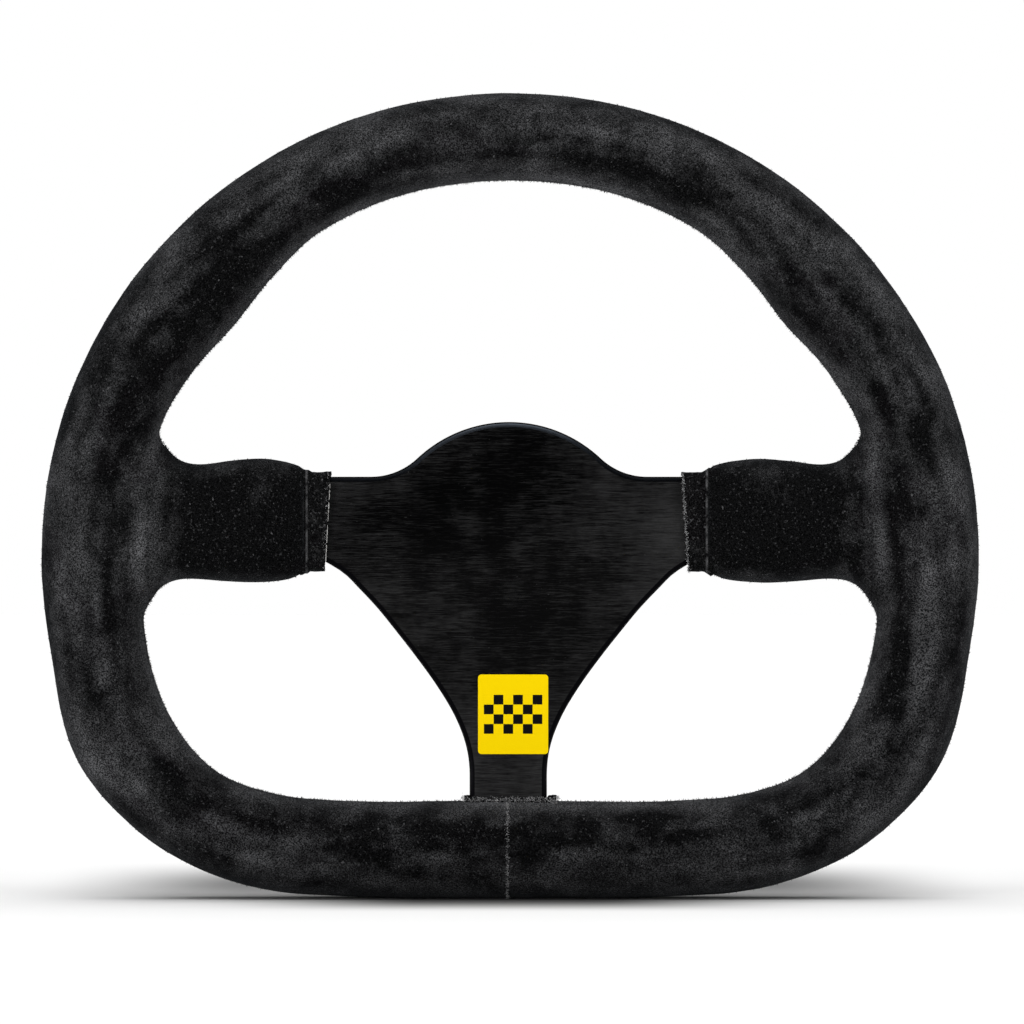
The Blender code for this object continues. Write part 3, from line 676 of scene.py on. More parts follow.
def copies(name, pattern, placements, finish, body):
    """One piece of many like shapes: the pattern's mesh, once at each placement."""
    points = np.array([v.co[:] for v in pattern.data.vertices])
    faces = [tuple(face.vertices) for face in pattern.data.polygons]
    all_points, all_faces = [], []
    for matrix in placements:
        turn = np.array(matrix.to_3x3())
        all_faces += [tuple(i + len(all_points) * len(points) for i in face) for face in faces]
        all_points.append(points @ turn.T + np.array(matrix.translation))
    mesh = bpy.data.meshes.new(name)
    mesh.from_pydata(np.concatenate(all_points).tolist(), [], all_faces)
    mesh.materials.append(finish)
    mesh.shade_smooth()
    piece = bpy.data.objects.new(name, mesh)
    scene.collection.objects.link(piece)
    bpy.data.objects.remove(pattern)
    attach(piece, body)
    return piece


def stitch_at(place, along):
    """The placement of a stitch on the skin, lying across a seam that runs along a direction."""
    spot, normal, _, _ = skin_surface.find_nearest(place)
    across = normal.cross(along).normalized()
    reach = (across + along * STITCH_LEAN).normalized()
    side = normal.cross(reach)
    turn = Matrix((reach, side, normal)).transposed().to_4x4()
    return Matrix.Translation(spot + normal * STITCH_LIFT) @ turn


stitches = []
for start, end in (UPPER_SEAM, LOWER_SEAM):
    turn = start
    while turn < end:
        here, ahead = rim_point(turn, SEAM_AROUND), rim_point(turn + 0.01, SEAM_AROUND)
        along = (ahead - here).normalized()
        stitches.append(stitch_at(here, along))
        turn += STITCH_PITCH * 0.01 / (ahead - here).length
for side in (-1, 1):
    for step in range(GRIP_STITCHES):
        x = (GRIP_STITCH_START + STITCH_PITCH / MM * step) * MM
        here = Vector((side * x, GRIP_SEAM_Y, SEAM_BEND_Z))
        stitches.append(stitch_at(here, Vector((side, 0, 0))))

quarter_turn = (0, math.pi / 2, 0)
stitch = plain(
    bpy.ops.mesh.primitive_uv_sphere_add, segments=8, ring_count=8, radius=1, rotation=quarter_turn
)
for vertex in stitch.data.vertices:
    x, y, z = vertex.co
    vertex.co = (x * STITCH_REACH, y * THREAD_R, z * THREAD_R - x**2 * STITCH_BOW)
copies("seam_stitches", stitch, stitches, thread_finish(), "wheel")


# ------------------------------------------------------------------ spoke plate
# One sheet of 5 mm aluminium, cut to its outline, brushed from side to side, bevelled all
# round and anodised black. Its arms run on inside the grip, where rivets hold them.

PLATE_DISC_R = 35.7
PLATE_TOP_Z = 21.1
PLATE_SHOULDER_R = 18.0
PLATE_BEVEL = 1.35 * MM
CHAMFER_FACING = 0.65
# Half width of the lower spoke at each height in mm.
LOWER_SPOKE_FLANK = (
    (-58.4, 10.3),
    (-50.4, 11.3),
    (-42.4, 14.4),
    (-34.4, 19.2),
    (-26.4, 25.0),
    (-18.4, 31.3),
    (-13.9, 35.0),
    (-8.6, 40.0),
    (-4.2, 44.6),
    (0.6, 53.0),
    (4.6, 61.0),
)
# The arm narrows inside the grip: distance from the axis and height in mm.
ARM_NECK = ((51.0, PLATE_TOP_Z), (54.0, 18.6), (90.5, 18.6), (90.5, 0.6))
# The plate sits a little to the left of the axis, its lower arm most.
PLATE_SHIFT, ARM_LEAN = 0.3, 0.2


def plate_outline():
    """The right half of the plate's outline, from its top to the end of its lower arm, in mm."""
    lift = PLATE_TOP_Z + PLATE_SHOULDER_R
    reach = math.sqrt((PLATE_DISC_R + PLATE_SHOULDER_R) ** 2 - lift**2)
    meeting = math.atan2(lift, reach)
    points = []
    for step in range(25):
        turn = math.pi / 2 + (meeting - math.pi / 2) * step / 24
        points.append((PLATE_DISC_R * math.cos(turn), PLATE_DISC_R * math.sin(turn)))
    for step in range(1, 13):
        turn = meeting + math.pi + (math.pi / 2 - meeting) * step / 12
        points.append((reach + PLATE_SHOULDER_R * math.cos(turn), lift + PLATE_SHOULDER_R * math.sin(turn)))
    points += ARM_NECK
    low, high = LOWER_SPOKE_FLANK[0][0], ARM_NECK[-1][1]
    for step in range(41):
        z = high + (low - high) * step / 40
        points.append((smooth_row(LOWER_SPOKE_FLANK, z)[0], z))
    points.append((LOWER_SPOKE_FLANK[0][1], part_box("spoke_plate")[0].z / MM))
    return points


def brushed(name, dark, light, roughness, stretch):
    """Anodised metal brushed from side to side: fine streaks, deeper black round the middle."""
    finish, shader, place = new_finish(name, roughness, 0.25)
    streaks = cloud(place, 5600, 2.0, 0.75, stretch=stretch)
    broad = cloud(place, 1300, 3.0, 0.6, stretch=stretch)
    mottle = cloud(place, 150, 3.0, 0.6)
    smudges = cloud(place, 32, 3.0, 0.6)
    across = place.axis("X")
    up = place.axis("Z")
    away = place.maths("SQRT", across * across + up * up).above(0.036, 0.026)
    dust = cloud(place, 1900, 0.0).above(0.86, 0.01)
    tone = (streaks * 2.2 + broad * 0.4 + mottle * 0.8 + smudges * 1.7 + away * 0.74 - 2.64).clamped()
    metal = tone.blend(dark, light)
    join((dust * 0.35).blend(metal, 0.07), shader, "Base Color")
    join((roughness - 0.1) + streaks * 0.12 + smudges * 0.08, shader, "Roughness")
    join(bump(place, streaks, 0.25, 0.0001), shader, "Normal")
    shader.inputs["Specular IOR Level"].default_value = 0.05
    return finish


plate_finish = brushed(
    "black anodised plate", (0.0004, 0.0004, 0.0005), (0.026, 0.026, 0.0265), 0.36, (0.045, 1, 1)
)


def chamfer_with_painted_highlight():
    """The chamfer, cut with a smooth tool: black, with a painted blue-grey highlight over the top of the disc
    and a faint one over the upper part.
    """
    finish, shader, place = new_finish("black anodised chamfer, painted highlight", 0.3, 1.0)
    across = place.axis("X")
    up = place.axis("Z")
    highlight_mottle = 0.45 + cloud(place, 300, 3.0)
    # Painted highlight: brightest over the top of the disc, fading to the right, and mottled.
    disc = up.above(25 * MM, 4 * MM) * (1 - across.above(17 * MM, 8 * MM) * 0.75) * highlight_mottle
    painted_highlight = disc + up.above(12 * MM, 2 * MM) * 0.1
    join(painted_highlight.blend((0.0025, 0.0025, 0.003), (0.06, 0.069, 0.083)), shader, "Base Color")
    join(0.24 + cloud(place, 1200, 2.0) * 0.12, shader, "Roughness")
    return finish


def edge_painted_black():
    """The sheet's own cut edge and outer bevel, painted black as shade, with almost no reflection."""
    finish, shader, place = new_finish("black anodised edge, painted shade", 0.6)
    join(cloud(place, 900, 2.0).blend(0.0004, 0.002), shader, "Base Color")
    shader.inputs["Specular IOR Level"].default_value = 0.02
    return finish


plate_low, plate_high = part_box("spoke_plate")
half = plate_outline()
outline = half + [(-x, z) for x, z in reversed(half) if x > 0.001]
outline = [(x - PLATE_SHIFT - ARM_LEAN * (1 - bulge(min(z, 0), 0, 20)), z) for x, z in outline]
sheet = bpy.data.curves.new("plate outline", "CURVE")
sheet.dimensions = "2D"
sheet.fill_mode = "BOTH"
sheet.extrude = (plate_high.y - plate_low.y) / 2
edge = sheet.splines.new("POLY")
edge.points.add(len(outline) - 1)
for point, (x, z) in zip(edge.points, outline):
    point.co = (x * MM, z * MM, 0, 1)
edge.use_cyclic_u = True
drawn = bpy.data.objects.new("spoke_plate_skin", sheet)
scene.collection.objects.link(drawn)
drawn.rotation_euler = (math.pi / 2, 0, 0)
drawn.location = (0, (plate_low.y + plate_high.y) / 2, 0)
only(drawn)
bpy.ops.object.convert(target="MESH")
plate = bpy.context.object
bpy.ops.object.mode_set(mode="EDIT")
bpy.ops.mesh.select_all(action="SELECT")
bpy.ops.mesh.remove_doubles(threshold=0.000002)
bpy.ops.object.mode_set(mode="OBJECT")
shape = bmesh.new()
shape.from_mesh(plate.data)
caps = [face for face in shape.faces if len({vertex.co.z > 0 for vertex in face.verts}) == 1]
bmesh.ops.dissolve_faces(shape, faces=caps)
bmesh.ops.recalc_face_normals(shape, faces=shape.faces)
shape.to_mesh(plate.data)
shape.free()
bpy.ops.object.transform_apply(location=True, rotation=True, scale=True)
bevel = plate.modifiers.new("bevelled edge", "BEVEL")
bevel.width = PLATE_BEVEL
bevel.segments = 2
bevel.profile = 0.5
bevel.limit_method = "ANGLE"
bevel.angle_limit = math.radians(60)
bevel.material = 1
plate.data.materials.clear()
for finish in (plate_finish, chamfer_with_painted_highlight(), edge_painted_black()):
    plate.data.materials.append(finish)
apply_all(plate)
# Bevel faces turned away from the front take the edge finish, painted black as shade.
for face in plate.data.polygons:
    if face.material_index == 1 and abs(face.normal.y) < CHAMFER_FACING:
        face.material_index = 2
only(plate)
bpy.ops.object.shade_smooth_by_angle(angle=math.radians(24))
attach(plate, "wheel")
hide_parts("spoke_plate")


# ------------------------------------------------------------------ badge
# A thin vinyl film, yellow with black racing chequers, stuck low on the lower arm.

CHECK = 2.6 * MM
CHECK_COLUMNS, CHECK_ROWS = 6, 4
PRINT_EDGE = 0.02 * MM
BADGE_CORNER = 0.9 * MM


def film_finish(centre):
    """Yellow film, with a block of chequers printed across its middle."""
    finish, shader, place = new_finish("yellow chequered film", 0.42)
    across = place.axis("X") - centre.x
    up = place.axis("Z") - centre.z
    odd = place.maths("FLOOR", across / CHECK) + place.maths("FLOOR", up / CHECK)
    odd = place.maths("MODULO", odd.absolute(), 2.0).above(0.5, 0.02)
    inside = 1 - across.absolute().above(CHECK * CHECK_COLUMNS / 2, PRINT_EDGE)
    inside = inside * (1 - up.absolute().above(CHECK * CHECK_ROWS / 2, PRINT_EDGE))
    print_grain = cloud(place, 2500, 2.0)
    yellow = print_grain.blend((0.82, 0.58, 0.0), (0.86, 0.61, 0.0))
    join((inside * odd).blend(yellow, 0.004), shader, "Base Color")
    join(0.38 + print_grain * 0.1, shader, "Roughness")
    shader.inputs["Specular IOR Level"].default_value = 0.03
    return finish


def box_between(name, low, high):
    middle, size = (low + high) / 2, high - low
    made = plain(bpy.ops.mesh.primitive_cube_add, size=1, location=middle, scale=size)
    made.name = name
    return made


def corners_rounded(made, along, radius, shortest):
    """Rounds the edges of a box that run along one axis, and leaves it in edit mode."""
    bpy.ops.object.mode_set(mode="EDIT")
    bpy.ops.mesh.select_mode(type="EDGE")
    bpy.ops.mesh.select_all(action="DESELECT")
    bpy.ops.object.mode_set(mode="OBJECT")
    for line in made.data.edges:
        ends = [made.data.vertices[i].co[along] for i in line.vertices]
        line.select = abs(ends[0] - ends[1]) > shortest
    bpy.ops.object.mode_set(mode="EDIT")
    bpy.ops.mesh.bevel(offset=radius, segments=5)


badge_low, badge_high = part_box("badge")
badge = box_between("badge_film", badge_low, badge_high)
corners_rounded(badge, 1, BADGE_CORNER, 0.05 * MM)
bpy.ops.object.mode_set(mode="OBJECT")
badge.data.materials.append(film_finish((badge_low + badge_high) / 2))
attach(badge, "wheel")
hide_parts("badge")


# ------------------------------------------------------------------ collars
# Narrow strips of the same suede, folded round each arm of the plate where it goes into the
# grip and glued down. Their edges are cut, not hemmed, so they fray, and the left one's glue
# has run out a little and dried white.

COLLAR_CORNER = 2.4 * MM
COLLAR_WALL = 1.0 * MM
COLLAR_TUCK = 1.7 * MM
COLLAR_FLARE, FLARE_LENGTH = 0.9 * MM, 1.3
# The creases lie a little further out on the left than on the right.
CREASE_X, CREASE_SHIFT = 53.3 * MM, 0.9 * MM
# The lower strip's ends stand up in small tabs beside the spoke.
TAB_START_X, TAB_RISE, TAB_SPREAD = 9.6 * MM, 0.9 * MM, 0.7 * MM


def cut_suede():
    """The strips' suede, paler grey along the crease where it meets the grip."""
    finish = suede("black suede, cut strip", (0.001, 0.001, 0.0011), (0.17, 0.17, 0.175), 0.05, False)
    shader = finish.node_tree.nodes["Principled BSDF"]
    colour = Wire(finish.node_tree, shader.inputs["Base Color"].links[0].from_socket)
    place = colour.node("ShaderNodeTexCoord", output="Object")
    across = place.axis("X")
    near = ((across + CREASE_SHIFT).absolute() - CREASE_X).absolute()
    rubbed = (1 - near.above(0.24 * MM, 0.2 * MM)) * cloud(place, 420, 3.0).above(0.5, 0.16)
    join((rubbed * 0.7).blend(colour, (0.16, 0.16, 0.165)), shader, "Base Color")
    return finish


collar_suede = cut_suede()


def strip(name, node, along, reach=0.0, slant=0.0):
    """A folded strip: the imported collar's box, open at both ends, with round corners."""
    low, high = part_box(node)
    if low[along] + high[along] > 0:
        high[along] += COLLAR_TUCK
        low[along] -= reach
    else:
        low[along] -= COLLAR_TUCK
        high[along] += reach
    made = box_between(name, low, high)
    bpy.ops.object.mode_set(mode="EDIT")
    bpy.ops.mesh.select_mode(type="FACE")
    bpy.ops.mesh.select_all(action="DESELECT")
    bpy.ops.object.mode_set(mode="OBJECT")
    for face in made.data.polygons:
        face.select = abs(face.normal[along]) > 0.5
    bpy.ops.object.mode_set(mode="EDIT")
    bpy.ops.mesh.delete(type="ONLY_FACE")
    corners_rounded(made, along, COLLAR_CORNER, 0.5 * MM)
    bpy.ops.mesh.select_all(action="SELECT")
    bpy.ops.mesh.subdivide(number_cuts=9)
    bpy.ops.object.mode_set(mode="OBJECT")
    outwards = 1 if low[along] + high[along] > 0 else -1
    for vertex, normal in zip(made.data.vertices, [v.normal.copy() for v in made.data.vertices]):
        place = vertex.co.copy()
        share = (place[along] - low[along]) / (high[along] - low[along])
        inner = 1 - share if outwards > 0 else share
        wave = 0.28 * noise.noise(place * 260) + 0.14 * noise.noise(place * 800)
        fold = 0.35 * bulge(inner, 0.28, 0.07) - 0.35 * bulge(inner, 0.18, 0.06)
        vertex.co = place + normal * (wave + fold - 0.15) * MM
        ragged = 0.3 * noise.noise(place * 900) + 0.35 * noise.noise(place * 300 + Vector((3, 9, 4)))
        vertex.co[along] += (ragged * MM + outwards * slant * (high.z - place.z) / (high.z - low.z)) * inner
        if along == 0:
            tucked = abs(place.x) / MM - GRIP_START[outwards] + FLARE_LENGTH
            flare = clamp(tucked / FLARE_LENGTH) * COLLAR_FLARE
            vertex.co.z += flare * (place.z - (low.z + high.z) / 2) / ((high.z - low.z) / 2)
        if along == 2 and abs(place.x) > TAB_START_X:
            vertex.co.z += TAB_RISE * inner * (1 + noise.noise(place * 400))
            vertex.co.x += math.copysign(TAB_SPREAD, place.x)
    wall = made.modifiers.new("suede", "SOLIDIFY")
    wall.thickness = COLLAR_WALL
    wall.offset = -1
    apply_all(made)
    made.data.shade_smooth()
    made.data.materials.append(collar_suede)
    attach(made, "wheel")
    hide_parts(node)
    return made


collars = [
    strip("collar_strip_left", "collar_left", 0, 0.3 * MM, 1.5 * MM),
    strip("collar_strip_right", "collar_right", 0, 2.4 * MM, 1.7 * MM),
    strip("collar_strip_lower", "collar_lower", 2, -2.0 * MM),
]

# The dried glue is a broken, uneven bead along the left strip's cut edge.
GLUE_FOOT, GLUE_TOP = -1.0, 19.2
glue_finish, glue_shader, glue_place = new_finish("dried glue", 0.5)
join(cloud(glue_place, 1500, 2.0).blend(0.3, (0.85, 0.84, 0.8)), glue_shader, "Base Color")
collar_low, collar_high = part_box("collar_left")
bead = plain(bpy.ops.mesh.primitive_uv_sphere_add, segments=6, ring_count=6, radius=1)
random.seed(5)
beads = []
height = GLUE_FOOT
while height < GLUE_TOP:
    length = random.uniform(0.35, 1.5)
    share = (collar_high.z / MM - height) / ((collar_high.z - collar_low.z) / MM)
    edge_x = collar_high.x + (0.45 - 1.5 * share) * MM
    spot = Vector((edge_x, plate_low.y - 0.08 * MM, height * MM))
    width = random.uniform(0.1, 0.2) * MM
    beads.append(Matrix.Translation(spot) @ Matrix.Diagonal((width, width, length * 0.62 * MM, 1)))
    height += length + random.choice((0.0, 0.0, 0.25, 0.7))
copies("collar_glue", bead, beads, glue_finish, "wheel")


# ------------------------------------------------------------------ quick release hub
# A turned aluminium hub, bolted to the back of the plate by six cap screws. Its barrel holds
# the splined end of the column, six windows for the locking balls, and a snap ring's groove.


def turned_metal(name, dark, light, roughness, metallic=0.9, ground=0.12):
    """Metal turned on a lathe: fine rings round the steering axis, and faint handling marks."""
    finish, shader, place = new_finish(name, roughness, metallic)
    across = place.axis("X")
    up = place.axis("Z")
    deep = place.axis("Y")
    radius = place.maths("SQRT", across * across + up * up)
    ring = place.node("ShaderNodeCombineXYZ", X=radius, Y=deep, Z=0.0)
    marks = cloud(ring, 2600, 3.0, 0.6)
    wear = cloud(place, 90, 4.0, 0.6)
    join((marks * 0.6 + wear * 0.4).blend(dark, light), shader, "Base Color")
    join((roughness - 0.1) + marks * 0.12 + wear * 0.08, shader, "Roughness")
    join(bump(place, marks, ground, 0.0001), shader, "Normal")
    return finish


hub_black = turned_metal("black anodised hub", (0.008, 0.008, 0.009), (0.02, 0.02, 0.022), 0.36, 0.6)
hub_black.node_tree.nodes["Principled BSDF"].inputs["Specular IOR Level"].default_value = 0.3
steel = turned_metal("bright plated steel", (0.4, 0.4, 0.41), (0.62, 0.62, 0.64), 0.3, 1.0)

FLANGE_R, FLANGE_FRONT, FLANGE_BACK = 31.0, -8.0, -2.0
SOCKET_R, SOCKET_FLOOR, STOP_PAD_R = 11.0, -1.0, 7.0
SPLINE_R, SPLINE_BACK = 9.6, 9.0
SPLINE_GROOVES, GROOVE_R, GROOVE_BACK = 12, 1.3, 11.0
BARREL_R, BARREL_BACK = 15.5, 25.5
RING_GROOVE_R, RING_GROOVE = 14.7, (23.25, 24.55)
BALLS, BALL_R, BALL_CIRCLE_R, BALL_Y = 6, 2.75, 12.75, 15.0
SEAT_CIRCLE_R, SEAT_INNER_R, SEAT_OUTER_R, SEAT_DEPTH = 13.5, 2.4, 4.1, 5.8
SCREWS, SCREW_CIRCLE_R, SCREW_HOLE_R = 6, 25.0, 2.8
EDGE = 0.5
LATHE_STEPS = 144


def turned(name, profile, steps=LATHE_STEPS, angle=math.tau, start=0.0):
    """A piece turned round the steering axis from (radius, height) points in mm, joined in a ring."""
    made = plain(bpy.ops.mesh.primitive_circle_add, vertices=len(profile), radius=1)
    made.name = name
    for vertex, (radius, height) in zip(made.data.vertices, profile):
        vertex.co = (radius * MM * math.cos(start), height * MM, radius * MM * math.sin(start))
    bpy.ops.object.mode_set(mode="EDIT")
    bpy.ops.mesh.select_all(action="SELECT")
    bpy.ops.mesh.spin(steps=steps, angle=angle, center=(0, 0, 0), axis=(0, -1, 0))
    bpy.ops.mesh.select_all(action="SELECT")
    bpy.ops.mesh.remove_doubles(threshold=0.00001)
    bpy.ops.mesh.dissolve_degenerate(threshold=0.000001)
    bpy.ops.mesh.select_all(action="DESELECT")
    bpy.ops.mesh.select_mode(type="EDGE")
    bpy.ops.mesh.select_non_manifold()
    bpy.ops.mesh.fill_holes(sides=0)
    bpy.ops.mesh.select_all(action="SELECT")
    bpy.ops.mesh.normals_make_consistent(inside=False)
    bpy.ops.object.mode_set(mode="OBJECT")
    return made


def ring_places(count, radius, start=0.0):
    """Angles, and places in mm, of like pieces spaced round the steering axis."""
    turns = [start + math.tau * number / count for number in range(count)]
    return [(turn, radius * math.cos(turn), radius * math.sin(turn)) for turn in turns]


def bored(made, places, radius, front, back, sides=40):
    """Cuts like holes along Y at places in mm."""
    rods = []
    for _, x, z in places:
        bpy.ops.object.select_all(action="DESELECT")
        bpy.ops.mesh.primitive_cylinder_add(
            vertices=sides,
            radius=radius * MM,
            depth=(back - front) * MM,
            location=(x * MM, (front + back) / 2 * MM, z * MM),
            rotation=(math.pi / 2, 0, 0),
        )
        rods.append(bpy.context.object)
    taken_away(made, rods)


def taken_away(made, rods):
    """Cuts every rod out of a piece."""
    only(*rods)
    if len(rods) > 1:
        bpy.ops.object.join()
    bpy.ops.object.transform_apply(location=True, rotation=True, scale=True)
    cutter = bpy.context.object
    cut = made.modifiers.new("cut", "BOOLEAN")
    cut.object = cutter
    cut.operation = "DIFFERENCE"
    apply_all(made)
    bpy.data.objects.remove(cutter)


def finished(made, finish, body, slot, *nodes, degrees=32):
    """Shades a piece, gives it its finish, sets it on its body and hides the imported parts it stands for."""
    only(made)
    bpy.ops.object.shade_smooth_by_angle(angle=math.radians(degrees))
    made.data.materials.clear()
    made.data.materials.append(finish)
    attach(made, body)
    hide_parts(*nodes)


hub = turned(
    "hub",
    [
        (0, 0),
        (STOP_PAD_R - EDGE, 0),
        (STOP_PAD_R, -EDGE),
        (STOP_PAD_R, SOCKET_FLOOR),
        (SPLINE_R, SOCKET_FLOOR),
        (SPLINE_R, SPLINE_BACK),
        (SOCKET_R, SPLINE_BACK + 1.0),
        (SOCKET_R, BARREL_BACK - 0.8),
        (SOCKET_R + 0.8, BARREL_BACK),
        (BARREL_R - EDGE, BARREL_BACK),
        (BARREL_R - 0.15, BARREL_BACK - 0.15),
        (BARREL_R, BARREL_BACK - EDGE),
        (BARREL_R, RING_GROOVE[1]),
        (RING_GROOVE_R, RING_GROOVE[1]),
        (RING_GROOVE_R, RING_GROOVE[0]),
        (BARREL_R, RING_GROOVE[0]),
        (BARREL_R, FLANGE_BACK + 0.6),
        (BARREL_R + 0.18, FLANGE_BACK + 0.18),
        (BARREL_R + 0.6, FLANGE_BACK),
        (FLANGE_R - 0.8, FLANGE_BACK),
        (FLANGE_R - 0.23, FLANGE_BACK - 0.23),
        (FLANGE_R, FLANGE_BACK - 0.8),
        (FLANGE_R, FLANGE_FRONT + EDGE),
        (FLANGE_R - EDGE, FLANGE_FRONT),
        (0, FLANGE_FRONT),
    ],
)
grooves = ring_places(SPLINE_GROOVES, SPLINE_R, math.pi / SPLINE_GROOVES)
bored(hub, grooves, GROOVE_R, SOCKET_FLOOR + 0.4, GROOVE_BACK, 16)
bored(hub, ring_places(SCREWS, SCREW_CIRCLE_R), SCREW_HOLE_R, FLANGE_FRONT - 1, FLANGE_BACK + 1)
seats = []
for turn, x, z in ring_places(BALLS, SEAT_CIRCLE_R, math.pi / BALLS):
    bpy.ops.object.select_all(action="DESELECT")
    bpy.ops.mesh.primitive_cone_add(
        vertices=40,
        radius1=SEAT_INNER_R * MM,
        radius2=SEAT_OUTER_R * MM,
        depth=SEAT_DEPTH * MM,
        location=(x * MM, BALL_Y * MM, z * MM),
        rotation=Vector((math.cos(turn), 0, math.sin(turn))).to_track_quat("Z", "Y").to_euler(),
    )
    seats.append(bpy.context.object)
taken_away(hub, seats)
finished(hub, hub_black, "wheel", "black_anodised", "hub_body")


# ------------------------------------------------------------------ hub screws
# Six M5 socket cap screws in black oxide steel, with knurled heads, driven in from behind.

black_steel = turned_metal("black oxide steel", (0.012, 0.012, 0.013), (0.05, 0.05, 0.052), 0.4, 0.9)
HEAD_R, HEAD_HEIGHT, SHANK_R, SCREW_TIP = 4.25, 5.0, 2.5, -12.0
HEAD_SEAT = FLANGE_BACK + 0.3
HEX_R, HEX_DEPTH = 2.3, 2.4
KNURL = 0.13
THREAD_PITCH, THREAD_DEPTH = 0.8, 0.4
SCREW_STEPS = 64
head_back = HEAD_SEAT + HEAD_HEIGHT
# The thread under the head is a row of crests and roots, down to a pointed tip.
thread = []
depth = HEAD_SEAT - 3.0
while depth > SCREW_TIP + 0.9:
    thread += [(SHANK_R, depth), (SHANK_R - THREAD_DEPTH, depth - THREAD_PITCH / 2)]
    depth -= THREAD_PITCH
screw = turned(
    "hub_screw",
    [
        (0, head_back),
        (HEAD_R - 0.5, head_back),
        (HEAD_R - 0.15, head_back - 0.15),
        (HEAD_R, head_back - 0.5),
        (HEAD_R, HEAD_SEAT + 0.6),
        (HEAD_R - 0.3, HEAD_SEAT),
        (SHANK_R, HEAD_SEAT),
        *thread,
        (SHANK_R - 0.7, SCREW_TIP),
        (0, SCREW_TIP),
    ],
    SCREW_STEPS,
)
for vertex in screw.data.vertices:
    radius = math.hypot(vertex.co.x, vertex.co.z) / MM
    column = round(math.atan2(vertex.co.z, vertex.co.x) / math.tau * SCREW_STEPS)
    if radius > HEAD_R - 0.05 and column % 2:
        vertex.co.x *= 1 - KNURL / HEAD_R
        vertex.co.z *= 1 - KNURL / HEAD_R
bored(screw, [(0, 0, 0)], HEX_R, head_back - HEX_DEPTH, head_back + 1, 6)
for number, (_, x, z) in enumerate(ring_places(SCREWS, SCREW_CIRCLE_R), start=1):
    copy = screw.copy()
    copy.data = screw.data.copy()
    copy.data.transform(Matrix.Translation((x * MM, 0, z * MM)))
    copy.name = f"cap_screw_{number}"
    scene.collection.objects.link(copy)
    finished(copy, black_steel, "wheel", "black_steel", f"hub_screw_{number}", degrees=28)
bpy.data.objects.remove(screw)


# ------------------------------------------------------------------ locking balls
# Six hardened steel balls in the barrel's windows. The sleeve's ramp lets them out.

ball_steel = turned_metal("polished ball steel", (0.62, 0.62, 0.64), (0.8, 0.8, 0.82), 0.14, 1.0, 0.03)
ball_places = ring_places(BALLS, BALL_CIRCLE_R, math.pi / BALLS)
for number, (_, x, z) in enumerate(ball_places, start=1):
    spot = (x * MM, BALL_Y * MM, z * MM)
    ball = plain(
        bpy.ops.mesh.primitive_ico_sphere_add, subdivisions=5, radius=BALL_R * MM, location=spot
    )
    ball.name = f"steel_ball_{number}"
    finished(ball, ball_steel, f"ball_{number}", "ball_steel", f"lock_ball_{number}", degrees=80)


# ------------------------------------------------------------------ release sleeve
# The ring that a driver pulls: turned aluminium, anodised red, with finger scallops round
# its grip, two grooves in front of it, and a ramp inside that frees the balls.

sleeve_red = turned_metal("red anodised sleeve", (0.36, 0.006, 0.01), (0.66, 0.03, 0.034), 0.28)
SLEEVE_R, SLEEVE_GRIP_R, SLEEVE_FRONT, SLEEVE_BACK = 20.0, 23.0, 4.5, 23.0
GRIP_FRONT = 15.5
SLEEVE_BORE_R, SLEEVE_SHOULDER, SLEEVE_LAND_R = 18.3, 9.0, 15.8
SLEEVE_RAMP_R, SLEEVE_RAMP_BACK = 17.0, 21.0
SLEEVE_GROOVES, SLEEVE_GROOVE_DEPTH = (12.3, 9.6), 0.35
SCALLOPS, SCALLOP_CIRCLE_R, SCALLOP_R = 12, 25.0, 3.0
sleeve_grooves = [
    (SLEEVE_R - deep * SLEEVE_GROOVE_DEPTH, back - ahead)
    for back in SLEEVE_GROOVES
    for deep, ahead in ((0, 0), (1, 0.3), (1, 0.7), (0, 1.0))
]
sleeve = turned(
    "sleeve",
    [
        (SLEEVE_RAMP_R, SLEEVE_BACK),
        (SLEEVE_GRIP_R - 0.8, SLEEVE_BACK),
        (SLEEVE_GRIP_R - 0.23, SLEEVE_BACK - 0.23),
        (SLEEVE_GRIP_R, SLEEVE_BACK - 0.8),
        (SLEEVE_GRIP_R, GRIP_FRONT + 1.2),
        (SLEEVE_GRIP_R - 0.3, GRIP_FRONT + 0.7),
        (SLEEVE_R + 0.4, GRIP_FRONT - 1.2),
        (SLEEVE_R, GRIP_FRONT - 1.7),
        *sleeve_grooves,
        (SLEEVE_R, SLEEVE_FRONT + EDGE),
        (SLEEVE_R - 0.15, SLEEVE_FRONT + 0.15),
        (SLEEVE_R - EDGE, SLEEVE_FRONT),
        (SLEEVE_BORE_R, SLEEVE_FRONT),
        (SLEEVE_BORE_R, SLEEVE_SHOULDER),
        (SLEEVE_LAND_R, SLEEVE_SHOULDER),
        (SLEEVE_LAND_R, BALL_Y),
        (SLEEVE_RAMP_R, SLEEVE_RAMP_BACK),
    ],
)
bored(sleeve, ring_places(SCALLOPS, SCALLOP_CIRCLE_R), SCALLOP_R, GRIP_FRONT, SLEEVE_BACK + 1)
finished(sleeve, sleeve_red, "sleeve", "red_anodised", "release_sleeve")


# ------------------------------------------------------------------ spring and snap ring
# A wire spring between the flange and the sleeve's shoulder, and an open ring in the
# barrel's groove that stops the sleeve.

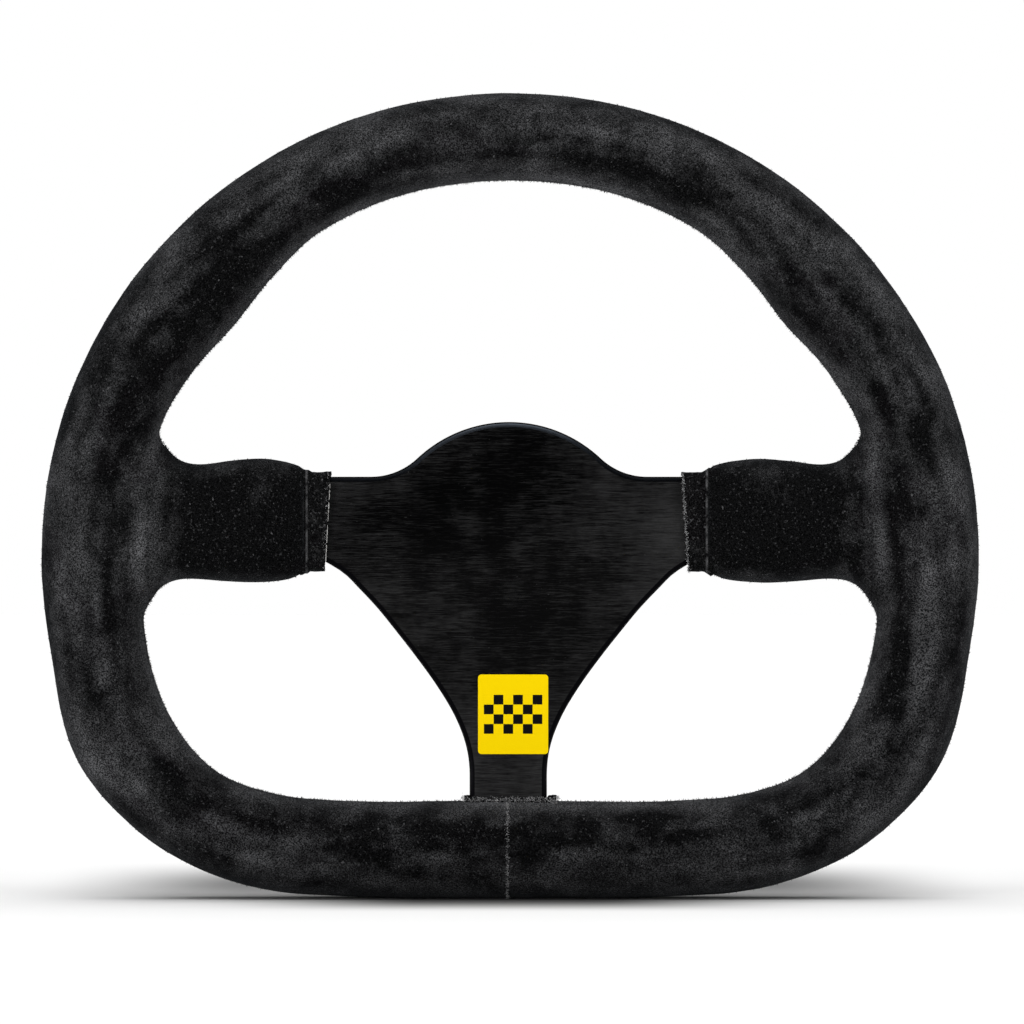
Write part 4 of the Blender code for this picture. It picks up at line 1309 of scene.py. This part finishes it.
COIL_R, WIRE_R, COIL_TURNS = 17.05, 0.55, 3.4
COIL_FRONT, COIL_BACK = FLANGE_BACK + 0.95, SLEEVE_SHOULDER - 0.95
WIRE_RINGS = 340
FLAT_END = 0.12
spring = plain(bpy.ops.mesh.primitive_uv_sphere_add, segments=14, ring_count=WIRE_RINGS, radius=1)
spring.name = "spring"
for vertex in spring.data.vertices:
    share = math.acos(max(-1.0, min(1.0, vertex.co.z))) / math.pi
    side = math.atan2(vertex.co.y, vertex.co.x)
    along = clamp((share - 1 / WIRE_RINGS) / (1 - 2 / WIRE_RINGS))
    ease = clamp((along - FLAT_END) / (1 - 2 * FLAT_END))
    wire = 0.0 if share < 0.001 or share > 0.999 else WIRE_R
    turn = math.tau * COIL_TURNS * along
    radius = (COIL_R + wire * math.cos(side)) * MM
    y = COIL_FRONT + (COIL_BACK - COIL_FRONT) * ease + 0.25 * (along - ease) + wire * math.sin(side)
    vertex.co = (radius * math.cos(turn), y * MM, radius * math.sin(turn))
facing_out(spring)
finished(spring, steel, "wheel", "steel", "release_spring", degrees=60)
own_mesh(spring)

RING_BORE_R, RING_R, RING_FRONT, RING_BACK = 15.05, 17.8, 23.45, 24.35
OPENING = math.radians(34)
ring = turned(
    "groove_ring",
    [
        (RING_BORE_R, RING_BACK),
        (RING_R - 0.15, RING_BACK),
        (RING_R, RING_BACK - 0.15),
        (RING_R, RING_FRONT + 0.15),
        (RING_R - 0.15, RING_FRONT),
        (RING_BORE_R, RING_FRONT),
    ],
    120,
    math.tau - OPENING,
    OPENING / 2 - math.pi / 2,
)
finished(ring, steel, "wheel", "steel", "snap_ring")


# ------------------------------------------------------------------ inside the grip
# The steel ring, its welded tabs and the rivets, all bedded in the moulded foam. The suede
# hides them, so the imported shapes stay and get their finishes.


def foam_finish():
    finish, shader, place = new_finish("moulded foam", 0.85)
    cells = place.node("ShaderNodeTexVoronoi", Vector=place, Scale=900.0)
    join(cells.blend(0.03, 0.06), shader, "Base Color")
    join(bump(place, cells, 0.4, 0.0003), shader, "Normal")
    return finish


bedded = foam_finish()
for node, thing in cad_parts.items():
    if thing.hide_render:
        continue
    thing.data.materials.clear()
    thing.data.materials.append(bedded if node == "rim_foam" else steel)


# ------------------------------------------------------------------ nap and frayed edges
# Short loose fibres stand off the suede all over, thicker inside the rim where hands and
# the seam have raised it. Paler ones stand off the cut edges and the butt seam.

NAP_FIBRES = 26000
TUFTS = 1500
# The side strips' cut edges: the strip, the edge's place at its top and bottom, and its fibres.
SIDE_EDGES = ((collars[0], -48.4, -49.8, 90), (collars[1], 45.9, 47.5, 420))
# The lower strip frays in rows below its top edge, and along a ledge where it meets the rim.
LOWER_ROWS = ((0.9, 200), (1.5, 260), (2.2, 120))
LEDGE_FIBRES, LEDGE_Y, LEDGE_Z = 620, -8 * MM, (-66.3, -67.4)
random.seed(11)


def fibre_placement(spot, normal, length, width, lean=0.8):
    """A placement that stands a unit fibre on a spot, leaning a random way."""
    sway = Vector((random.uniform(-1, 1), random.uniform(-1, 1), random.uniform(-1, 1))) * lean
    up = (normal + sway).normalized()
    side = up.orthogonal().normalized()
    turn = Matrix((side * width, up.cross(side) * width, up * length)).transposed().to_4x4()
    return Matrix.Translation(spot) @ turn


def fibre_pattern():
    """A unit fibre, with its foot just under the skin."""
    return plain(
        bpy.ops.mesh.primitive_cone_add,
        vertices=3,
        radius1=0.5,
        radius2=0.0,
        depth=1.0,
        location=(0, 0, 0.42),
    )


def fibre_finish(name, dark, light):
    finish, shader, place = new_finish(name, 0.9)
    join(cloud(place, 900, 1.0).blend(dark, light), shader, "Base Color")
    shader.inputs["Specular IOR Level"].default_value = 0.05
    return finish


nap = []
while len(nap) < NAP_FIBRES:
    a, b, c = random.choice(skin_triangles)
    u, v = sorted((random.random(), random.random()))
    spot = a * u + b * (v - u) + c * (1 - v)
    normal = (b - a).cross(c - a).normalized()
    turn = math.atan2(spot.z, spot.x)
    facing_in = -(normal.x * math.cos(turn) + normal.z * math.sin(turn))
    if facing_in < 0.3 and random.random() < 0.8:
        continue
    length = random.uniform(0.25, 0.6) if facing_in < 0.3 else random.uniform(0.3, 0.75)
    nap.append(fibre_placement(spot, normal, length * MM, random.uniform(0.1, 0.24) * MM))
nap_finish = fibre_finish("loose nap", 0.002, (0.03, 0.03, 0.032))
copies("suede_nap", fibre_pattern(), nap, nap_finish, "wheel")

fray = []


def extent(made):
    """The low and the high corner of a piece's mesh."""
    points = np.array([v.co[:] for v in made.data.vertices])
    return points.min(axis=0).tolist(), points.max(axis=0).tolist()


def frayed(start, end, normal, count, longest, spread):
    """Loose fibres along a cut edge."""
    for _ in range(count):
        spot = start.lerp(end, random.random())
        spot += Vector((random.gauss(0, spread), random.gauss(0, spread * 0.3), random.gauss(0, spread))) * MM
        size = random.uniform(0.3, longest) * MM
        fray.append(fibre_placement(spot, normal, size, random.uniform(0.08, 0.17) * MM, 1.1))


front = Vector((0, -1, 0))
for made, top_x, bottom_x, count in SIDE_EDGES:
    (_, front_y, z_low), (_, _, z_high) = extent(made)
    top = Vector((top_x * MM, front_y + 0.5 * MM, z_high - 1 * MM))
    bottom = Vector((bottom_x * MM, front_y + 0.5 * MM, z_low + 1 * MM))
    frayed(top, bottom, front, count, 0.9, 0.22)
(low_x, front_y, _), (high_x, _, top_z) = extent(collars[2])
up_front = Vector((0, -0.5, 0.85))
for down, count in LOWER_ROWS:
    edge_z = top_z - down * MM
    left_end, right_end = Vector((low_x, front_y, edge_z)), Vector((high_x, front_y, edge_z))
    frayed(left_end, right_end, up_front, count, 0.6, 0.2)
for _ in range(LEDGE_FIBRES):
    ledge = Vector((random.uniform(low_x, high_x), LEDGE_Y, random.choice(LEDGE_Z) * MM))
    spot, normal, _, _ = skin_surface.find_nearest(ledge)
    frayed(spot, spot, normal, 1, 0.6, 0.25)
for side_x in (low_x, high_x):
    edge = Vector((side_x, front_y + 1.5 * MM, top_z - 0.8 * MM))
    frayed(edge, edge + Vector((0, 4 * MM, 0)), Vector((math.copysign(0.6, side_x), 0, 0.8)), 50, 0.6, 0.3)
fray_finish = fibre_finish("frayed edge", 0.03, (0.7, 0.7, 0.71))
copies("edge_fray", fibre_pattern(), fray, fray_finish, "wheel")

# Pale fibres stand along the butt seam.
seam_tufts = []
for _ in range(TUFTS):
    depth = random.uniform(-math.pi, 0.0)
    if noise.noise(Vector((depth * 9, 2, 7))) < random.uniform(-0.4, 0.5):
        continue
    spot, normal, _, _ = skin_surface.find_nearest(rim_point(-math.pi / 2, depth))
    spot = spot + Vector((BOTTOM_SEAM_X + random.gauss(0, 0.26) * MM, 0, 0))
    size = random.uniform(0.2, 0.6) * MM
    seam_tufts.append(fibre_placement(spot, normal, size, random.uniform(0.09, 0.17) * MM, 1.2))
tuft_finish = fibre_finish("pale seam tufts", 0.01, (0.6, 0.6, 0.61))
copies("seam_tufts", fibre_pattern(), seam_tufts, tuft_finish, "wheel")
